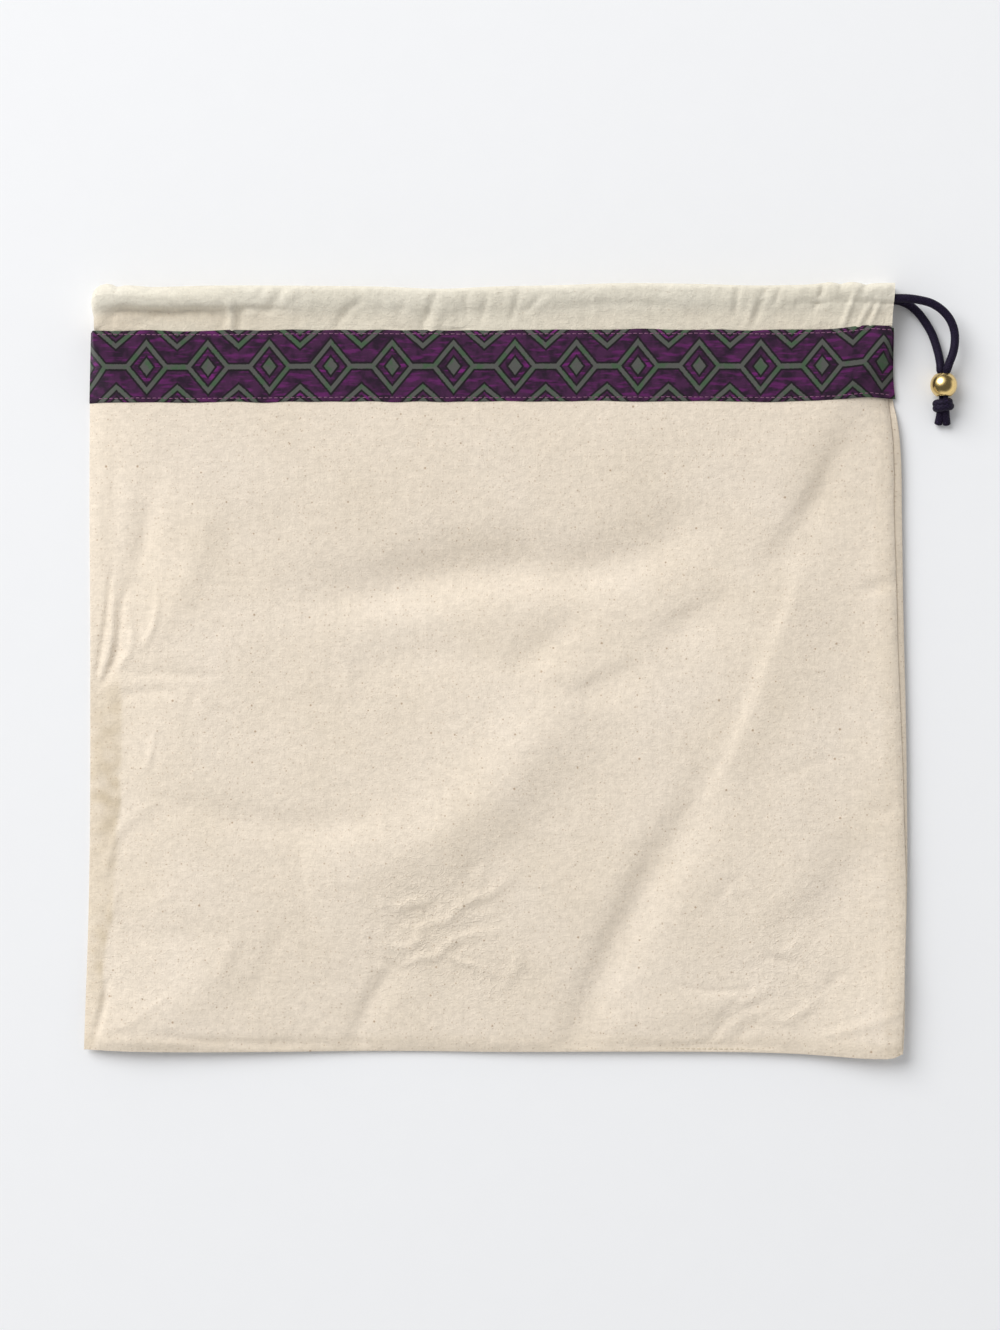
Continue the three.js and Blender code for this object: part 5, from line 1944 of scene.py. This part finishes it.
class DUSTBAG_OT_seams(bpy.types.Operator):
    """Turned-in seam allowances between the faces, and the stitches that close each seam"""

    bl_idname = "dustbag.seams"
    bl_label = "Seams"

    def execute(self, context):
        cloth = in_mm("cloth")
        for name in ("left", "right", "bottom"):
            low, high = node_box(f"{name}_seam_allowance")
            upright = name != "bottom"
            hand = {"left": -1, "right": 1}.get(name, 0)

            def place(s, t, low=low, high=high, upright=upright, hand=hand):
                if upright:
                    y = low[1] + (high[1] - low[1]) * s
                    edge = side_seam(hand, y, ALLOWANCE_INSET, ALLOWANCE_RIGHT_INSET)
                    x = edge - hand * t * cut_edge(y, SIDE_ALLOWANCE)
                else:
                    x = low[0] + ALLOWANCE_END + (high[0] - low[0] - 2 * ALLOWANCE_END) * s
                    y = smooth_line(BOTTOM_EDGE, x) + ALLOWANCE_INSET + t * cut_edge(x, BOTTOM_ALLOWANCE)
                to_right = smooth_line(RIGHT_DITCH, y) - x
                edges = (x - smooth_line(LEFT_EDGE, y), to_right, y - smooth_line(BOTTOM_EDGE, x))
                cover = front_height(x, y, edges) - ALLOWANCE_COVER * cloth
                uneven = ALLOWANCE_RUMPLE * rumple(x, y, size=18, seed=61)
                z = np.minimum(seam_floor(x, y) + ALLOWANCE_HEIGHT + uneven, cover)
                return np.stack([x, drift(x, y), z], 1), np.stack([x + ALLOWANCE_WEAVE, y], 1)

            strip = grid_piece(f"{name}_allowance", *ALLOWANCE_GRID, place)
            facing_up = strip.data.polygons[0].normal.z > 0
            if not facing_up:
                turn_faces(strip)
            thicken(strip, ALLOWANCE_THICKNESS * cloth)
            dress(strip, raw_cloth(), [f"{name}_seam_allowance"])
            gather(strip)
            self.stitch(name, low, high, upright, hand)
        return {"FINISHED"}

    def stitch(self, name, low, high, upright, hand):
        """Lock stitches just inside one seam."""
        pitch = in_mm("stitch_pitch")
        start, end = (low[1], high[1]) if upright else (low[0], high[0])
        places = np.arange(start + 2, end - 1, pitch)

        def seat(at, local):
            along = at + local[:, 0]
            if upright:
                x = side_seam(hand, along, SEAM_STITCH_INSET, SEAM_STITCH_RIGHT_INSET) + local[:, 1]
                y = along
            else:
                x = along
                y = smooth_line(BOTTOM_EDGE, along) + SEAM_STITCH_INSET + local[:, 1]
            return x, drift(x, y), seam_floor(x, y) + SEAM_MIDDLE

        stitches = stitch_row(f"{name}_seam_stitches", places, seat, SEAM_STITCH_SINK)
        thread = shared_material("Seam thread", seam_thread)
        dress(stitches, thread, [f"{name}_seam_stitching"])
        gather(stitches)


class DUSTBAG_PT_panel(bpy.types.Panel):
    """Lists the bag's sizes, colours and pieces in the sidebar"""

    bl_idname = "DUSTBAG_PT_panel"
    bl_label = "Dust Bag"
    bl_space_type = "VIEW_3D"
    bl_region_type = "UI"
    bl_category = "Dust Bag"

    def draw(self, context):
        for group in (context.scene.dust_bag_sizes, context.scene.dust_bag_colours):
            box = self.layout.box()
            for key in group.__annotations__:
                box.prop(group, key)
        for operator in OPERATORS:
            self.layout.operator(operator.bl_idname)


OPERATORS = [
    DUSTBAG_OT_stage,
    DUSTBAG_OT_bead,
    DUSTBAG_OT_cord_knot,
    DUSTBAG_OT_cord_legs,
    DUSTBAG_OT_cord_in_casing,
    DUSTBAG_OT_back_cloth,
    DUSTBAG_OT_front_cloth,
    DUSTBAG_OT_casing,
    DUSTBAG_OT_ribbons,
    DUSTBAG_OT_topstitching,
    DUSTBAG_OT_seams,
]
CLASSES = [DustBagSizes, DustBagColours, *OPERATORS, DUSTBAG_PT_panel]


def register():
    for item in CLASSES:
        bpy.utils.register_class(item)
    bpy.types.Scene.dust_bag_sizes = bpy.props.PointerProperty(type=DustBagSizes)
    bpy.types.Scene.dust_bag_colours = bpy.props.PointerProperty(type=DustBagColours)


def unregister():
    del bpy.types.Scene.dust_bag_colours
    del bpy.types.Scene.dust_bag_sizes
    for item in reversed(CLASSES):
        bpy.utils.unregister_class(item)


def main():
    register()
    for operator in OPERATORS:
        group, name = operator.bl_idname.split(".")
        getattr(getattr(bpy.ops, group), name)()


if __name__ == "__main__":
    main()
